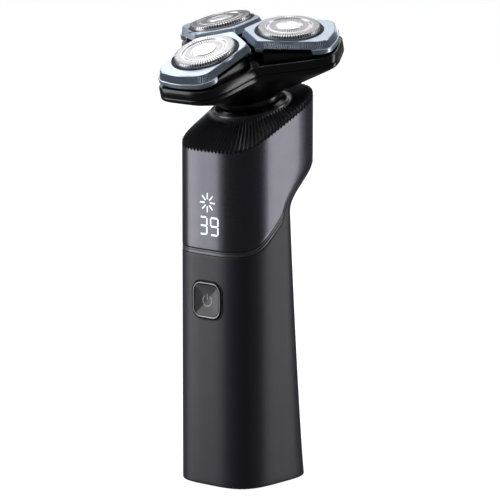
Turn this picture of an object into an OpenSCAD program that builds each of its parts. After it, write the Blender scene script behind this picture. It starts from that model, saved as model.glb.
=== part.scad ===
/* [Handle] */
// Half of the handle's width
half_width = 17.5; // [17:0.5:18]
// Distance from the handle's axis to its flat front
front_y = 20; // [19.5:0.5:20.5]
// Distance from the axis to the back at the base
base_back = 19; // [18.5:0.5:19.5]
// How far the back comes in between the base and the waist
waist_in = 10.8; // [10:0.1:11]
// Height of the waist
waist_z = 97; // [96:1:98]
// Height over which the back swells out above the waist
waist_rise = 16; // [15.5:0.5:18]
// Distance from the axis to the back at the top of the handle
top_back = 24.2; // [24:0.1:24.5]
// Roundness of the handle's corners: 1 is an ellipse, smaller is squarer
corner = 0.54; // [0.52:0.02:0.58]
// Wall thickness of the handle's shells
wall = 1.7; // [1.5:0.1:1.9]

/* [Upper panel] */
// Height of the seam under the glossy panel at the front
seam_front_z = 82.5; // [81:0.5:84]
// Climb of the seam along the sides, per millimetre towards the back
seam_slope = 0.96; // [0.9:0.02:1]
// Place along Y where the seam starts to climb
seam_start_y = -12; // [-13:0.5:-11]
// Width of the trim strip between panel and grip
trim_width = 1.7; // [1.5:0.1:2]

/* [Ribbed collar] */
// Height of the collar's lower edge at the front
collar_front_z = 122; // [121:0.5:123]
// Slope of the collar's lower edge, in degrees
collar_lean = 16; // [15:1:17]
// Height of the collar's upright wall
collar_wall = 2; // [1.5:0.5:2.5]

/* [Head] */
// Forward lean of the neck and head, in degrees
head_lean = 15; // [14:1:16]
// Place along Y of the neck ring's centre
neck_y = 3; // [2.5:0.5:3.5]
// Height of the neck ring's centre
neck_z = 135; // [134.5:0.5:135.5]
// Radius of the neck ring's opening
neck_r = 12.5; // [12.4:0.1:12.6]
// Length of a lobe from the head's axis
lobe_len = 35; // [34.5:0.5:35.5]
// Half of a lobe's width
lobe_half = 13.8; // [13.6:0.1:14]
// Distance of a shaving unit from the head's axis
unit_r = 18.2; // [18.1:0.1:18.3]
// Outward tilt of a shaving unit, in degrees
unit_tilt = 8; // [7.5:0.5:8.5]
// Height of a unit's ring above the neck ring, along the head's axis
unit_s = 24; // [23.9:0.1:24.2]

/* [Gears] */
// Teeth of the sun gear
sun_teeth = 21; // [21:1:21]
// Teeth of a planet gear
planet_teeth = 25; // [25:1:25]
// Gear module
gear_module = 0.75; // [0.75:0.01:0.75]

/* [Hidden] */
SIDES = ["front", "right", "left"];
UNIT_ANGLES = [-90, 30, 150];

// Points round the handle, the head and small round pieces
handle_points = 56;
head_points = 72;
round_fn = 64;
small_fn = 32;
// Gap between touching pieces, and running clearance of a pin in its hole
seam = 0.12;
run = 0.05;

// Handle profile
waist_power = 0.85;
seam_soft = 6;
edge_round = 1;
casing_foot = 0.3;
collar_slope = tan(collar_lean);
casing_steps = [0, 0.006, 0.012, 0.14, 0.28, 0.42, 0.55, 0.66, 0.75, 0.82, 0.88, 0.94, 1];
casing_inner_steps = [1, 0.9, 0.8, 0.66, 0.5, 0.3, 0];
cover_steps = [0, 0.15, 0.35, 0.6, 1];

// Power button and the parts behind it
button_z = 66.5;
button_size = 12.8;
button_corner = 3.6;
button_hole = 14.2;
button_face_y = -20.35;
button_back_y = -17.9;
button_step_y = -19.6;
ring_face_y = -20.45;
pad_size = 11;
ring_inner = 11.1;
ring_outer = 12.7;

// Base
cap_inset = 1.85;
cap_h = 3;
gasket_h = 1;
socket_y = 8;
socket_w = 8.94;
socket_h = 3.26;
socket_shell = 0.35;
socket_outer = [socket_w + 2 * socket_shell, socket_h + 2 * socket_shell];
socket_depth = 6.5;
screw_x = 10;
screw_y = -9.6;

// Inner frame, board and cell
frame_back_y = -8.8;
frame_t = 1.6;
frame_half_w = 12.5;
frame_low = 5;
frame_high = 107;
board_y = -12.8;
board_t = 1.2;
board_low = 52;
board_high = 112;
board_half_w = 11;
board_screw_x = 8.5;
board_screw_z = [56, 96];
display_half_w = 7;
display_low = 89.5;
display_high = 108.5;
display_back_y = -15.6;
cell_y = 1.5;
cell_r = 7.05;
cell_low = 14.5;
cell_high = 62;
cradle_r = 7.2;
cradle_h = 4;
cradle_z = [18, 52];
shelf_half_w = 9;
shelf_t = 1.5;
tab_t = 0.3;

// Motor stack along the head's axis
motor_r = 8;
motor_low = -26;
motor_high = -6.5;
motor_wall = 1.2;
armature_r = 6.2;
boss_r = 3;
boss_high = -5.6;
mount_low = -6.4;
mount_high = -4.95;
mount_r = 11.4;
shaft_r = 1;
shaft_low = -25.6;
neck_low = -4.85;
neck_high = -3.8;
neck_base_r = 12.2;

// Gimbal: centre, ring and ears
gimbal_s = 3;
gimbal_in = 5;
gimbal_out = 6.9;
gimbal_half_h = 1.3;
pin_r = 0.8;
pin_reach = 8.6;
ear_in = 7.2;
ear_out = 8.8;
ear_half_w = 2;
ear_over = 1.8;
ball_r = 2.4;

// Bowl
bowl_ball_r = 11.8;
bowl_ball_in = 10.6;
bowl_low = -1;
bowl_rim = 13.25;
bowl_round = 12;
bowl_wall = 1.8;
lobe_power = 5;
lobe_blend = 12;

// Gear train
sun_r = sun_teeth * gear_module / 2;
planet_r = planet_teeth * gear_module / 2;
spindle_r = sun_r + planet_r;
gear_low = 10.2;
gear_high = 12.2;
deck_low = 8.6;
deck_high = 9.8;
cover_low = 12.4;
cover_high = 13.4;
pressure = 20;
backlash = 0.6;
addendum = 0.85;
dedendum = 1.2;
tooth_levels = 3;
spindle_ball_s = 17.24;
spindle_ball_r = 1.3;
post_angle = 60;
post_r = 11.5;
post_rad = 1.6;

// Head frame
frame_rim_low = 13.35;
frame_rim_high = 16.5;
frame_deck_low = 15.2;
frame_wall = 1.8;
frame_hole_r = 10.4;
centre_pin_r = 2;
hinge_r = 30.1;
hinge_s = 17.6;
hinge_pin_r = 0.7;
hinge_ear_in = 4.3;
hinge_ear_out = 5.8;
hinge_lug_in = 6.05;
hinge_lug_out = 8;
lug_half = 1.1;
chamber_in = 1.6;
chamber_wall = 1.1;
chamber_high = -4.8;
chamber_low = -10.5;
chamber_gap_x = 10.8;
chamber_gap_half = 8.4;

// Blade ring, comb and cutter, in their own frame: Z along the unit's axis, X outward
ring_top_t = 1.3;
ring_knurl = 2.8;
ring_skirt = 4.5;
ring_hole_r = 11.15;
ring_wall = 0.7;
comb_r = 10.9;
comb_top = 1.5;
comb_skin = 0.65;
comb_flange_r = 11.45;
comb_flange_low = -1.9;
comb_flange_t = 0.5;
comb_side = 0.6;
slot_count = 36;
slot_w = 0.35;
disc_r = 4.4;
groove_in = 7.3;
groove_out = 8.2;
groove_depth = 0.5;
slot_in = 8.7;
slot_len = 1.5;
cutter_r = 9.8;
cutter_low = -1;
cutter_t = 0.6;
cutter_blades = 12;
blade_top = 0.7;
hub_low = -7.6;
hub_r = 3.1;
hub_socket_r = 2.3;
hub_socket_top = -3;
hub_boss_r = 2.6;

// Smooth helpers
function smooth(t) = let(c = max(0, min(1, t))) c * c * (3 - 2 * c);
function soft_rise(u) = (u + sqrt(u * u + seam_soft * seam_soft)) / 2;
function soft_climb(u) = (1 + u / sqrt(u * u + seam_soft * seam_soft)) / 2;
function signed_pow(v, p) = sign(v) * pow(abs(v), p);

// Distance from the axis to the back at a height
function back_y(z) =
    base_back - waist_in * pow(min(z, waist_z) / waist_z, waist_power)
    + (top_back - base_back + waist_in) * smooth((z - waist_z) / waist_rise);

// How far the bottom edge is rounded in at a height
function edge_in(z) = edge_round - sqrt(edge_round * edge_round - pow(max(0, edge_round - z), 2));

// Point on the handle's surface, moved in by an inset
function handle_point(a, z, inset) =
    let(reach = sin(a) < 0 ? front_y : back_y(z))
    [(half_width - inset) * signed_pow(cos(a), corner), (reach - inset) * signed_pow(sin(a), corner), z];

// Y of the full top section, which the seam and the collar follow
function top_y(a) = (sin(a) < 0 ? front_y : top_back) * signed_pow(sin(a), corner);
function seam_z(a) = seam_front_z + seam_slope * soft_rise(top_y(a) - seam_start_y);
function trim_half(a) =
    trim_width / 2 * sqrt(1 + pow(seam_slope * soft_climb(top_y(a) - seam_start_y), 2));
function collar_z(a) = collar_front_z + (top_y(a) + front_y) * collar_slope;

// Point in the head's frame: round angle, radius and height along the leaning axis
function neck_point(a, r, s) = [
    r * cos(a),
    neck_y + r * sin(a) * cos(head_lean) - s * sin(head_lean),
    neck_z + r * sin(a) * sin(head_lean) + s * cos(head_lean)
];
function round_angles(count) = [for (i = [0:count - 1]) i * 360 / count];
// Angles whose points lie at even directions round the squared section
handle_angles = [for (a = round_angles(handle_points))
    atan2(signed_pow(sin(a), 1 / corner), signed_pow(cos(a), 1 / corner))];

// One lobe of the head in plan, and the three of them blended
function one_lobe(d, length, half) =
    cos(d) <= 0 ? 0
    : 1 / pow(pow(cos(d) / length, lobe_power) + pow(abs(sin(d)) / half, lobe_power), 1 / lobe_power);
function lobe_edge(a, inset) =
    let(reach = [for (u = UNIT_ANGLES) pow(one_lobe(a - u, lobe_len - inset, lobe_half - inset), lobe_blend)])
    pow(reach[0] + reach[1] + reach[2], 1 / lobe_blend);
// From a circle (share 0) to the lobes (share 1)
function bowl_edge(a, inset, circle, share) = circle + (lobe_edge(a, inset) - circle) * share;
function bowl_ring(inset, circle, share, s) =
    [for (p = lobe_plan(inset, circle, share)) [p[0], p[1], s]];
function lobe_plan(inset, circle = 0, share = 1) =
    [for (a = round_angles(head_points)) let(r = bowl_edge(a, inset, circle, share)) [r * cos(a), r * sin(a)]];
function ball_edge(r, s) = sqrt(r * r - pow(s - gimbal_s, 2));
function bowl_in_share(s) = min(1, max(0, (s - gimbal_s) / (bowl_round + 0.2 - gimbal_s)));

// A rounded corner at p between a and b, as points on an arc
function rounded_corner(a, p, b, r, steps) =
    let(
        u = (a - p) / norm(a - p),
        v = (b - p) / norm(b - p),
        half = acos(u * v) / 2,
        centre = p + (u + v) / norm(u + v) * r / sin(half),
        from = p + u * r / tan(half) - centre,
        start = atan2(from[1], from[0]),
        turn = sign(u[1] * v[0] - u[0] * v[1]) * (180 - 2 * half)
    )
    [for (i = [0:steps]) centre + r * [cos(start + turn * i / steps), sin(start + turn * i / steps)]];
function rounded_plan(corners, radii, steps) =
    let(n = len(corners))
    [for (i = [0:n - 1]) each
        rounded_corner(corners[(i + n - 1) % n], corners[i], corners[(i + 1) % n], radii[i], steps)];
function square_plan(size, r) =
    let(h = size / 2)
    rounded_plan([[h, -h], [h, h], [-h, h], [-h, -h]], [r, r, r, r], 6);
function oblong_plan(w, h) =
    let(x = w / 2, y = h / 2, r = y - 0.01)
    rounded_plan([[x, -y], [x, y], [-x, y], [-x, -y]], [r, r, r, r], 6);

// Five-sided plan of a blade ring: a point towards the head's axis, a bowed outer end
plate_in = 17.2;
plate_out = 15.3;
plate_bow = 17.2;
plate_half = 13.2;
plate_end_half = 11.8;
function plate_plan(grow) =
    let(
        point = plate_in + grow / sin(60),
        shoulder = plate_in - plate_half / tan(60) + grow / sin(60) - grow / tan(60),
        half = plate_half + grow,
        end_half = plate_end_half + grow
    )
    rounded_plan(
        [[-point, 0], [-shoulder, -half], [plate_out + grow, -end_half], [plate_bow + grow, 0],
            [plate_out + grow, end_half], [-shoulder, half]],
        [3 + grow, 5 + grow, 5.5 + grow, 25, 5.5 + grow, 5 + grow],
        5
    );

// Closed shell through rings of points: up the outside, over the rim and down the inside
module ring_shell(rings) {
    count = len(rings[0]);
    total = len(rings);
    polyhedron(
        points = [for (ring = rings) each ring],
        faces = [
            for (i = [0:total - 1], j = [0:count - 1])
                let(
                    i2 = (i + 1) % total,
                    j2 = (j + 1) % count,
                    a = i * count + j,
                    b = i * count + j2,
                    c = i2 * count + j2,
                    d = i2 * count + j
                )
                each [[a, d, c], [a, c, b]]
        ],
        convexity = 8
    );
}

module at_head() {
    translate([0, neck_y, neck_z]) rotate([head_lean, 0, 0]) children();
}

module at_unit(i) {
    at_head()
        rotate([0, 0, UNIT_ANGLES[i]])
            translate([unit_r, 0, unit_s])
                rotate([0, unit_tilt, 0])
                    children();
}

module at_spindle(i) {
    at_head() rotate([0, 0, UNIT_ANGLES[i]]) translate([spindle_r, 0, 0]) children();
}

// Rounded square prism that faces the front, from y_front back to y_back
module front_prism(size, r, y_front, y_back) {
    translate([0, y_back, button_z])
        rotate([90, 0, 0])
            linear_extrude(height = y_back - y_front)
                polygon(square_plan(size, r));
}

module tube(r_out, r_in, low, high, fn = round_fn) {
    translate([0, 0, low])
        difference() {
            cylinder(r = r_out, h = high - low, $fn = fn);
            translate([0, 0, -1]) cylinder(r = r_in, h = high - low + 2, $fn = fn);
        }
}

module rod(r, low, high, fn = small_fn) {
    translate([0, 0, low]) cylinder(r = r, h = high - low, $fn = fn);
}

module hole(r, low, high, fn = small_fn) {
    translate([0, 0, low - 0.5]) cylinder(r = r, h = high - low + 1, $fn = fn);
}

module block(low, high) {
    translate(low) cube(high - low);
}

// ---- Handle shells ----

module grip_casing() {
    angles = handle_angles;
    color([0.1, 0.1, 0.13])
        difference() {
            ring_shell(concat(
                [for (f = casing_steps) [for (a = angles)
                    let(z = casing_foot + f * (seam_z(a) - trim_half(a) - seam - casing_foot))
                    handle_point(a, z, edge_in(z))]],
                [for (f = casing_inner_steps) [for (a = angles)
                    let(z = casing_foot + f * (seam_z(a) - trim_half(a) - seam - casing_foot))
                    handle_point(a, z, wall)]]
            ));
            front_prism(button_hole, button_corner + 0.7, -front_y - 1, -front_y + 4);
        }
}

module trim_strip() {
    angles = handle_angles;
    low = [for (a = angles) seam_z(a) - trim_half(a)];
    high = [for (a = angles) seam_z(a) + trim_half(a)];
    color([0.3, 0.3, 0.32])
        ring_shell([
            [for (i = [0:handle_points - 1]) handle_point(angles[i], low[i], 0.15)],
            [for (i = [0:handle_points - 1]) handle_point(angles[i], (low[i] + high[i]) / 2, 0.05)],
            [for (i = [0:handle_points - 1]) handle_point(angles[i], high[i], 0.15)],
            [for (i = [0:handle_points - 1]) handle_point(angles[i], high[i], wall)],
            [for (i = [0:handle_points - 1]) handle_point(angles[i], low[i], wall)]
        ]);
}

module display_cover() {
    angles = handle_angles;
    color([0.2, 0.2, 0.22])
        ring_shell(concat(
            [for (f = cover_steps) [for (a = angles)
                let(low = seam_z(a) + trim_half(a) + seam, z = low + f * (collar_z(a) - seam - low))
                handle_point(a, z, 0)]],
            [for (f = [1, 0.5, 0.25, 0]) [for (a = angles)
                let(low = seam_z(a) + trim_half(a) + seam, z = low + f * (collar_z(a) - seam - low))
                handle_point(a, z, wall)]]
        ));
}

module ribbed_collar() {
    angles = handle_angles;
    turns = round_angles(handle_points);
    lift = [0, 0, collar_wall];
    color([0.08, 0.08, 0.09])
        ring_shell([
            [for (a = angles) handle_point(a, collar_z(a), 0)],
            [for (a = angles) handle_point(a, collar_z(a), 0) + lift],
            [for (a = turns) neck_point(a, neck_r + 1.4, -0.4)],
            [for (a = turns) neck_point(a, neck_r + 0.5, 0)],
            [for (a = turns) neck_point(a, neck_r, -0.3)],
            [for (a = turns) neck_point(a, neck_r, neck_low - 0.3)],
            [for (a = angles) handle_point(a, collar_z(a), wall) + lift * 0.5],
            [for (a = angles) handle_point(a, collar_z(a), wall)]
        ]);
}

// ---- Base ----

function section_plan(z, inset) = [for (a = handle_angles) let(p = handle_point(a, z, inset)) [p[0], p[1]]];

module base_cap() {
    color([0.09, 0.09, 0.11])
        difference() {
            union() {
                linear_extrude(height = cap_h) polygon(section_plan(cap_h + gasket_h, cap_inset));
                for (x = [-screw_x, screw_x])
                    translate([x, screw_y, 0]) rod(2.6, cap_h, cap_h + 1.9);
            }
            for (x = [-screw_x, screw_x])
                translate([x, screw_y, 0]) {
                    hole(1.1, 0, cap_h + 2);
                    translate([0, 0, -0.5]) cylinder(r = 2.1, h = 1.9, $fn = small_fn);
                }
            translate([0, socket_y, -0.5])
                linear_extrude(height = cap_h + 1)
                    polygon(oblong_plan(socket_outer[0] + 0.1, socket_outer[1] + 0.1));
        }
}

module base_gasket() {
    color([0.15, 0.15, 0.15])
        translate([0, 0, cap_h + 0.05])
            linear_extrude(height = gasket_h)
                difference() {
                    polygon(section_plan(cap_h + gasket_h, cap_inset + 0.15));
                    polygon(section_plan(cap_h + gasket_h, cap_inset + 1.5));
                }
}

module base_screws() {
    color([0.7, 0.7, 0.72])
        for (x = [-screw_x, screw_x])
            translate([x, screw_y, 0])
                difference() {
                    union() {
                        rod(1.9, 0.4, 1.35);
                        rod(1, 1.35, 9);
                    }
                    translate([-1.4, -0.25, 0]) cube([2.8, 0.5, 0.8]);
                    translate([-0.25, -1.4, 0]) cube([0.5, 2.8, 0.8]);
                }
}

module charging_socket() {
    color([0.75, 0.75, 0.78])
        translate([0, socket_y, 0.5]) {
            linear_extrude(height = socket_depth)
                difference() {
                    polygon(oblong_plan(socket_outer[0], socket_outer[1]));
                    polygon(oblong_plan(socket_w, socket_h));
                }
            translate([0, 0, socket_depth - 0.8])
                linear_extrude(height = 0.8)
                    polygon(oblong_plan(socket_w, socket_h));
            translate([-3.3, -0.35, 1.2]) cube([6.6, 0.7, socket_depth - 1.6]);
        }
}

// ---- Inside the handle ----

module inner_frame() {
    color([0.5, 0.5, 0.52])
        difference() {
            union() {
                block(
                    [-frame_half_w, frame_back_y - frame_t, frame_low],
                    [frame_half_w, frame_back_y, frame_high]
                );
                for (x = [-screw_x, screw_x])
                    translate([x, screw_y, 0]) rod(2.2, frame_low, 14);
                for (z = cradle_z)
                    block([-shelf_half_w, frame_back_y, z], [shelf_half_w, cell_y + 3, z + cradle_h]);
                for (z = [cell_low - 1 - shelf_t, cell_high + 1])
                    block([-shelf_half_w, frame_back_y, z], [shelf_half_w, cell_y + 5, z + shelf_t]);
            }
            for (x = [-screw_x, screw_x])
                translate([x, screw_y, 0]) hole(1.02, frame_low, 12);
            translate([0, cell_y, 0]) hole(cradle_r, cradle_z[0] - 1, cradle_z[1] + cradle_h + 1, round_fn);
            for (x = [-board_screw_x, board_screw_x], z = board_screw_z)
                translate([x, 0, z]) rotate([90, 0, 0]) hole(0.82, 8, 11);
        }
}

module frame_screws() {
    color([0.7, 0.7, 0.72])
        for (x = [-board_screw_x, board_screw_x], z = board_screw_z)
            translate([x, 0, z])
                rotate([90, 0, 0]) {
                    rod(0.8, 9, -board_y + 0.05);
                    rod(1.4, -board_y + 0.05, -board_y + 0.9);
                }
}

module circuit_board() {
    color([0.1, 0.35, 0.2])
        difference() {
            union() {
                block([-board_half_w, board_y, board_low], [board_half_w, board_y + board_t, board_high]);
                block([-6, board_y - 1, 74], [-1, board_y, 79]);
                block([2, board_y - 0.8, 75], [6, board_y, 78]);
                block([-9, board_y - 0.9, 80.5], [-6.5, board_y, 83]);
            }
            for (x = [-board_screw_x, board_screw_x], z = board_screw_z)
                translate([x, 0, z]) rotate([90, 0, 0]) hole(0.9, -board_y - board_t, -board_y);
        }
}

module display_module() {
    color([0.9, 0.9, 0.92]) {
        block(
            [-display_half_w, display_back_y - 1.8, display_low],
            [display_half_w, display_back_y, display_high]
        );
        block(
            [2 - display_half_w, display_back_y, display_low + 1],
            [display_half_w - 2, board_y - 0.02, display_high - 1]
        );
    }
}

module tactile_switch() {
    color([0.2, 0.2, 0.2])
        translate([0, 0, button_z])
            rotate([90, 0, 0]) {
                translate([0, 0, -board_y + 0.02]) linear_extrude(height = 3) square(6, center = true);
                rod(1.7, -board_y + 3.02, 17.2);
            }
}

module battery_cell() {
    color([0.15, 0.45, 0.3])
        translate([0, cell_y, 0]) {
            rod(cell_r, cell_low, cell_high, round_fn);
            rod(2.6, cell_high, cell_high + 0.6);
        }
}

module battery_tabs() {
    color([0.8, 0.8, 0.82]) {
        block([-3, cell_y - 5, cell_low - 0.05 - tab_t], [3, cell_y + 3, cell_low - 0.05]);
        block([-3, cell_y - 5, cell_high + 0.65], [3, cell_y + 3, cell_high + 0.65 + tab_t]);
    }
}

module motor_can() {
    color([0.75, 0.75, 0.76])
        at_head()
            difference() {
                union() {
                    rod(motor_r, motor_low, motor_high, round_fn);
                    rod(boss_r, motor_high, boss_high);
                }
                rod(motor_r - motor_wall, motor_low + motor_wall, motor_high - motor_wall, round_fn);
                rod(shaft_r + run, shaft_low - 0.1, boss_high + 1);
            }
}

module motor_mount() {
    color([0.4, 0.4, 0.42])
        at_head() {
            difference() {
                rod(mount_r, mount_low, mount_high, round_fn);
                hole(boss_r + run, mount_low, mount_high);
            }
            for (x = [-1, 1])
                block([x * 9.6 - 0.9, -4, -22], [x * 9.6 + 0.9, 4, mount_low]);
        }
}

module motor_seal() {
    color([0.7, 0.25, 0.15])
        at_head() {
            tube(3.4, shaft_r + run, neck_high + 0.02, neck_high + 0.8, small_fn);
            tube(2, shaft_r + run, neck_high + 0.8, neck_high + 1.8, small_fn);
        }
}

module neck_base() {
    color([0.12, 0.12, 0.13])
        at_head()
            difference() {
                union() {
                    rod(neck_base_r, neck_low, neck_high, round_fn);
                    for (x = [-1, 1])
                        block(
                            [min(x * ear_in, x * ear_out), -ear_half_w, neck_low],
                            [max(x * ear_in, x * ear_out), ear_half_w, gimbal_s + ear_over]
                        );
                }
                hole(shaft_r + 0.3, neck_low, neck_high);
                translate([0, 0, gimbal_s])
                    rotate([0, 90, 0]) hole(pin_r + run, -ear_out, ear_out);
            }
}

// ---- Power button ----

module button_seal() {
    color([0.03, 0.03, 0.03])
        difference() {
            front_prism(button_hole - 0.1, button_corner + 0.65, -20.05, -18);
            front_prism(button_size + 0.3, button_corner + 0.15, -22, -16);
        }
}

module power_button() {
    color([0.06, 0.06, 0.07]) {
        front_prism(button_size, button_corner, button_step_y, button_back_y);
        front_prism(pad_size, button_corner - 0.9, button_face_y, button_step_y);
    }
}

module button_ring() {
    color([0.75, 0.76, 0.78])
        difference() {
            front_prism(ring_outer, button_corner - 0.05, ring_face_y, button_step_y - 0.01);
            front_prism(ring_inner, button_corner - 0.85, -22, -16);
        }
}

// ---- Drive ----

module motor_shaft() {
    color([0.8, 0.8, 0.82])
        at_head() rod(shaft_r, shaft_low, gimbal_s - ball_r + 0.3);
}

module motor_armature() {
    color([0.7, 0.42, 0.25])
        at_head()
            tube(armature_r, shaft_r, motor_low + motor_wall + 0.6, motor_high - motor_wall - 1);
}

module drive_ball() {
    color([0.85, 0.82, 0.7])
        at_head()
            difference() {
                union() {
                    translate([0, 0, gimbal_s])
                        rotate_extrude($fn = round_fn)
                            intersection() {
                                circle(r = ball_r, $fn = round_fn);
                                translate([0, -ball_r]) square([ball_r, 2 * ball_r]);
                            }
                    tube(1.7, shaft_r, -0.6, 1.2, small_fn);
                }
                hole(shaft_r, -1.2, gimbal_s - ball_r - 0.2);
            }
}

module gimbal_ring() {
    color([0.85, 0.85, 0.82])
        at_head()
            translate([0, 0, gimbal_s]) {
                tube(gimbal_out, gimbal_in, -gimbal_half_h, gimbal_half_h);
                for (turn = [0:90:270])
                    rotate([0, 0, turn])
                        rotate([0, 90, 0]) rod(pin_r, gimbal_out - 0.6, pin_reach);
            }
}

// Involute half-angle of a tooth at a radius
function involute(a) = tan(a) * 180 / PI - a;
function tooth_half(teeth, r) =
    let(pitch = teeth * gear_module / 2, base = pitch * cos(pressure))
    90 / teeth - backlash + involute(pressure) - involute(acos(min(1, base / r)));
function gear_plan(teeth, phase) =
    let(
        pitch = teeth * gear_module / 2,
        root = pitch - dedendum * gear_module,
        low = max(root + 0.1, pitch * cos(pressure) + 0.02),
        tip = pitch + addendum * gear_module,
        levels = [for (k = [0:tooth_levels]) low + (tip - low) * k / tooth_levels]
    )
    [for (t = [0:teeth - 1])
        let(mid = phase + t * 360 / teeth)
        each concat(
            [root * [cos(mid - tooth_half(teeth, low) - 0.4), sin(mid - tooth_half(teeth, low) - 0.4)]],
            [for (r = levels) r * [cos(mid - tooth_half(teeth, r)), sin(mid - tooth_half(teeth, r))]],
            [for (k = [tooth_levels:-1:0]) let(r = levels[k])
                r * [cos(mid + tooth_half(teeth, r)), sin(mid + tooth_half(teeth, r))]],
            [root * [cos(mid + tooth_half(teeth, low) + 0.4), sin(mid + tooth_half(teeth, low) + 0.4)]]
        )];

module sun_gear() {
    color([0.9, 0.9, 0.86])
        at_head()
            difference() {
                union() {
                    translate([0, 0, gear_low])
                        linear_extrude(height = gear_high - gear_low)
                            polygon(gear_plan(sun_teeth, UNIT_ANGLES[0]));
                    rod(3.4, 0.9, gear_low + 0.5);
                    rod(1.5, gear_high - 0.5, cover_high - 0.5);
                }
                translate([0, 0, 0]) cylinder(r = ball_r + run, h = 5.7, $fn = round_fn);
            }
}

module planet_gear(i) {
    color([0.88, 0.88, 0.84])
        at_spindle(i) {
            translate([0, 0, gear_low])
                linear_extrude(height = gear_high - gear_low)
                    polygon(gear_plan(planet_teeth, 0));
            rod(1, deck_low + 0.1, gear_low + 0.5);
            rod(1, gear_high - 0.5, spindle_ball_s);
            rod(1.6, cover_high + 0.1, cover_high + 0.4);
            translate([0, 0, spindle_ball_s])
                rotate_extrude($fn = small_fn)
                    intersection() {
                        circle(r = spindle_ball_r, $fn = small_fn);
                        translate([0, -spindle_ball_r]) square([spindle_ball_r, 2 * spindle_ball_r]);
                    }
        }
}

// Small coil spring round the spindle
spring_mean = 1.4;
spring_wire = 0.16;
spring_turns = 4;
spring_sides = 6;
spring_rings = 48;
module spindle_spring(i) {
    low = cover_high + 0.45 + spring_wire;
    high = spindle_ball_s - spindle_ball_r - spring_wire - 0.05;
    points = [for (k = [0:spring_rings], j = [0:spring_sides - 1])
        let(
            a = 360 * spring_turns * k / spring_rings,
            b = 360 * j / spring_sides,
            r = spring_mean + spring_wire * cos(b)
        )
        [r * cos(a), r * sin(a), low + (high - low) * k / spring_rings + spring_wire * sin(b)]];
    last = spring_rings * spring_sides;
    color([0.8, 0.8, 0.82])
        at_spindle(i)
            polyhedron(
                points = points,
                faces = concat(
                    [[for (j = [0:spring_sides - 1]) j]],
                    [[for (j = [spring_sides - 1:-1:0]) last + j]],
                    [for (k = [0:spring_rings - 1], j = [0:spring_sides - 1])
                        let(
                            j2 = (j + 1) % spring_sides,
                            a = k * spring_sides + j,
                            b = k * spring_sides + j2,
                            c = b + spring_sides,
                            d = a + spring_sides
                        )
                        each [[a, d, c], [a, c, b]]]
                )
            );
}

// ---- Head base ----

module head_bowl() {
    lip = bowl_round;
    color([0.05, 0.05, 0.055])
        at_head()
            ring_shell([
                bowl_ring(0, ball_edge(bowl_ball_r, bowl_low), 0, bowl_low),
                bowl_ring(0, ball_edge(bowl_ball_r, 0.6), 0, 0.6),
                bowl_ring(0, bowl_ball_r, 0, 2.4),
                bowl_ring(0, bowl_ball_r, 0.43, 6.3),
                bowl_ring(0, bowl_ball_r, 0.93, 10.9),
                bowl_ring(0, bowl_ball_r, 0.985, lip - 0.4),
                bowl_ring(0, bowl_ball_r, 1, lip),
                bowl_ring(0, bowl_ball_r, 1, bowl_rim),
                bowl_ring(bowl_wall, bowl_ball_in, 1, bowl_rim),
                bowl_ring(bowl_wall, bowl_ball_in, 1, lip + 0.2),
                bowl_ring(bowl_wall, bowl_ball_in, 0.5, (gimbal_s + lip + 0.2) / 2),
                bowl_ring(bowl_wall, bowl_ball_in, 0, gimbal_s),
                bowl_ring(bowl_wall, ball_edge(bowl_ball_in, 1), 0, 1),
                bowl_ring(bowl_wall, ball_edge(bowl_ball_in, bowl_low), 0, bowl_low)
            ]);
}

module at_posts() {
    for (u = UNIT_ANGLES)
        rotate([0, 0, u + post_angle]) translate([post_r, 0, 0]) children();
}

module gear_deck() {
    share = bowl_in_share(deck_low);
    color([0.35, 0.36, 0.38])
        at_head()
            difference() {
                union() {
                    translate([0, 0, deck_low])
                        linear_extrude(height = deck_high - deck_low)
                            polygon(lobe_plan(bowl_wall + 0.4, bowl_ball_in - 0.4, share));
                    for (y = [-1, 1])
                        block(
                            [-ear_half_w, min(y * ear_in, y * ear_out), gimbal_s - ear_over],
                            [ear_half_w, max(y * ear_in, y * ear_out), deck_low + 0.4]
                        );
                    at_posts() rod(post_rad, deck_high - 0.3, cover_low - 0.03);
                }
                hole(3.5, deck_low, deck_high, round_fn);
                for (u = UNIT_ANGLES)
                    rotate([0, 0, u]) translate([spindle_r, 0, 0]) hole(1 + run, deck_low, deck_high);
                at_posts() hole(0.82, deck_low + 1, cover_low);
                translate([0, 0, gimbal_s])
                    rotate([90, 0, 0]) hole(pin_r + run, -ear_out, ear_out);
            }
}

module gear_cover() {
    color([0.2, 0.2, 0.22])
        at_head()
            difference() {
                union() {
                    translate([0, 0, cover_low])
                        linear_extrude(height = cover_high - cover_low)
                            polygon(lobe_plan(bowl_wall + 1.1));
                    rod(centre_pin_r, cover_high - 0.3, frame_rim_high);
                }
                translate([0, 0, cover_low - 1]) cylinder(r = 1.5 + run, h = 1.7, $fn = small_fn);
                for (u = UNIT_ANGLES)
                    rotate([0, 0, u]) translate([spindle_r, 0, 0]) hole(1 + run, cover_low, cover_high);
                at_posts() hole(0.9, cover_low, cover_high);
            }
}

module head_gasket() {
    color([0.2, 0.2, 0.2])
        at_head()
            translate([0, 0, bowl_round + 0.5])
                linear_extrude(height = bowl_rim - bowl_round - 0.6)
                    difference() {
                        polygon(lobe_plan(bowl_wall + 0.08));
                        polygon(lobe_plan(bowl_wall + 1));
                    }
}

module head_screws() {
    color([0.75, 0.75, 0.78])
        at_head()
            at_posts() {
                rod(0.8, deck_high + 0.4, cover_high + 0.02);
                rod(1.5, cover_high + 0.02, cover_high + 0.8);
            }
}

// ---- Head frame ----

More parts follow.
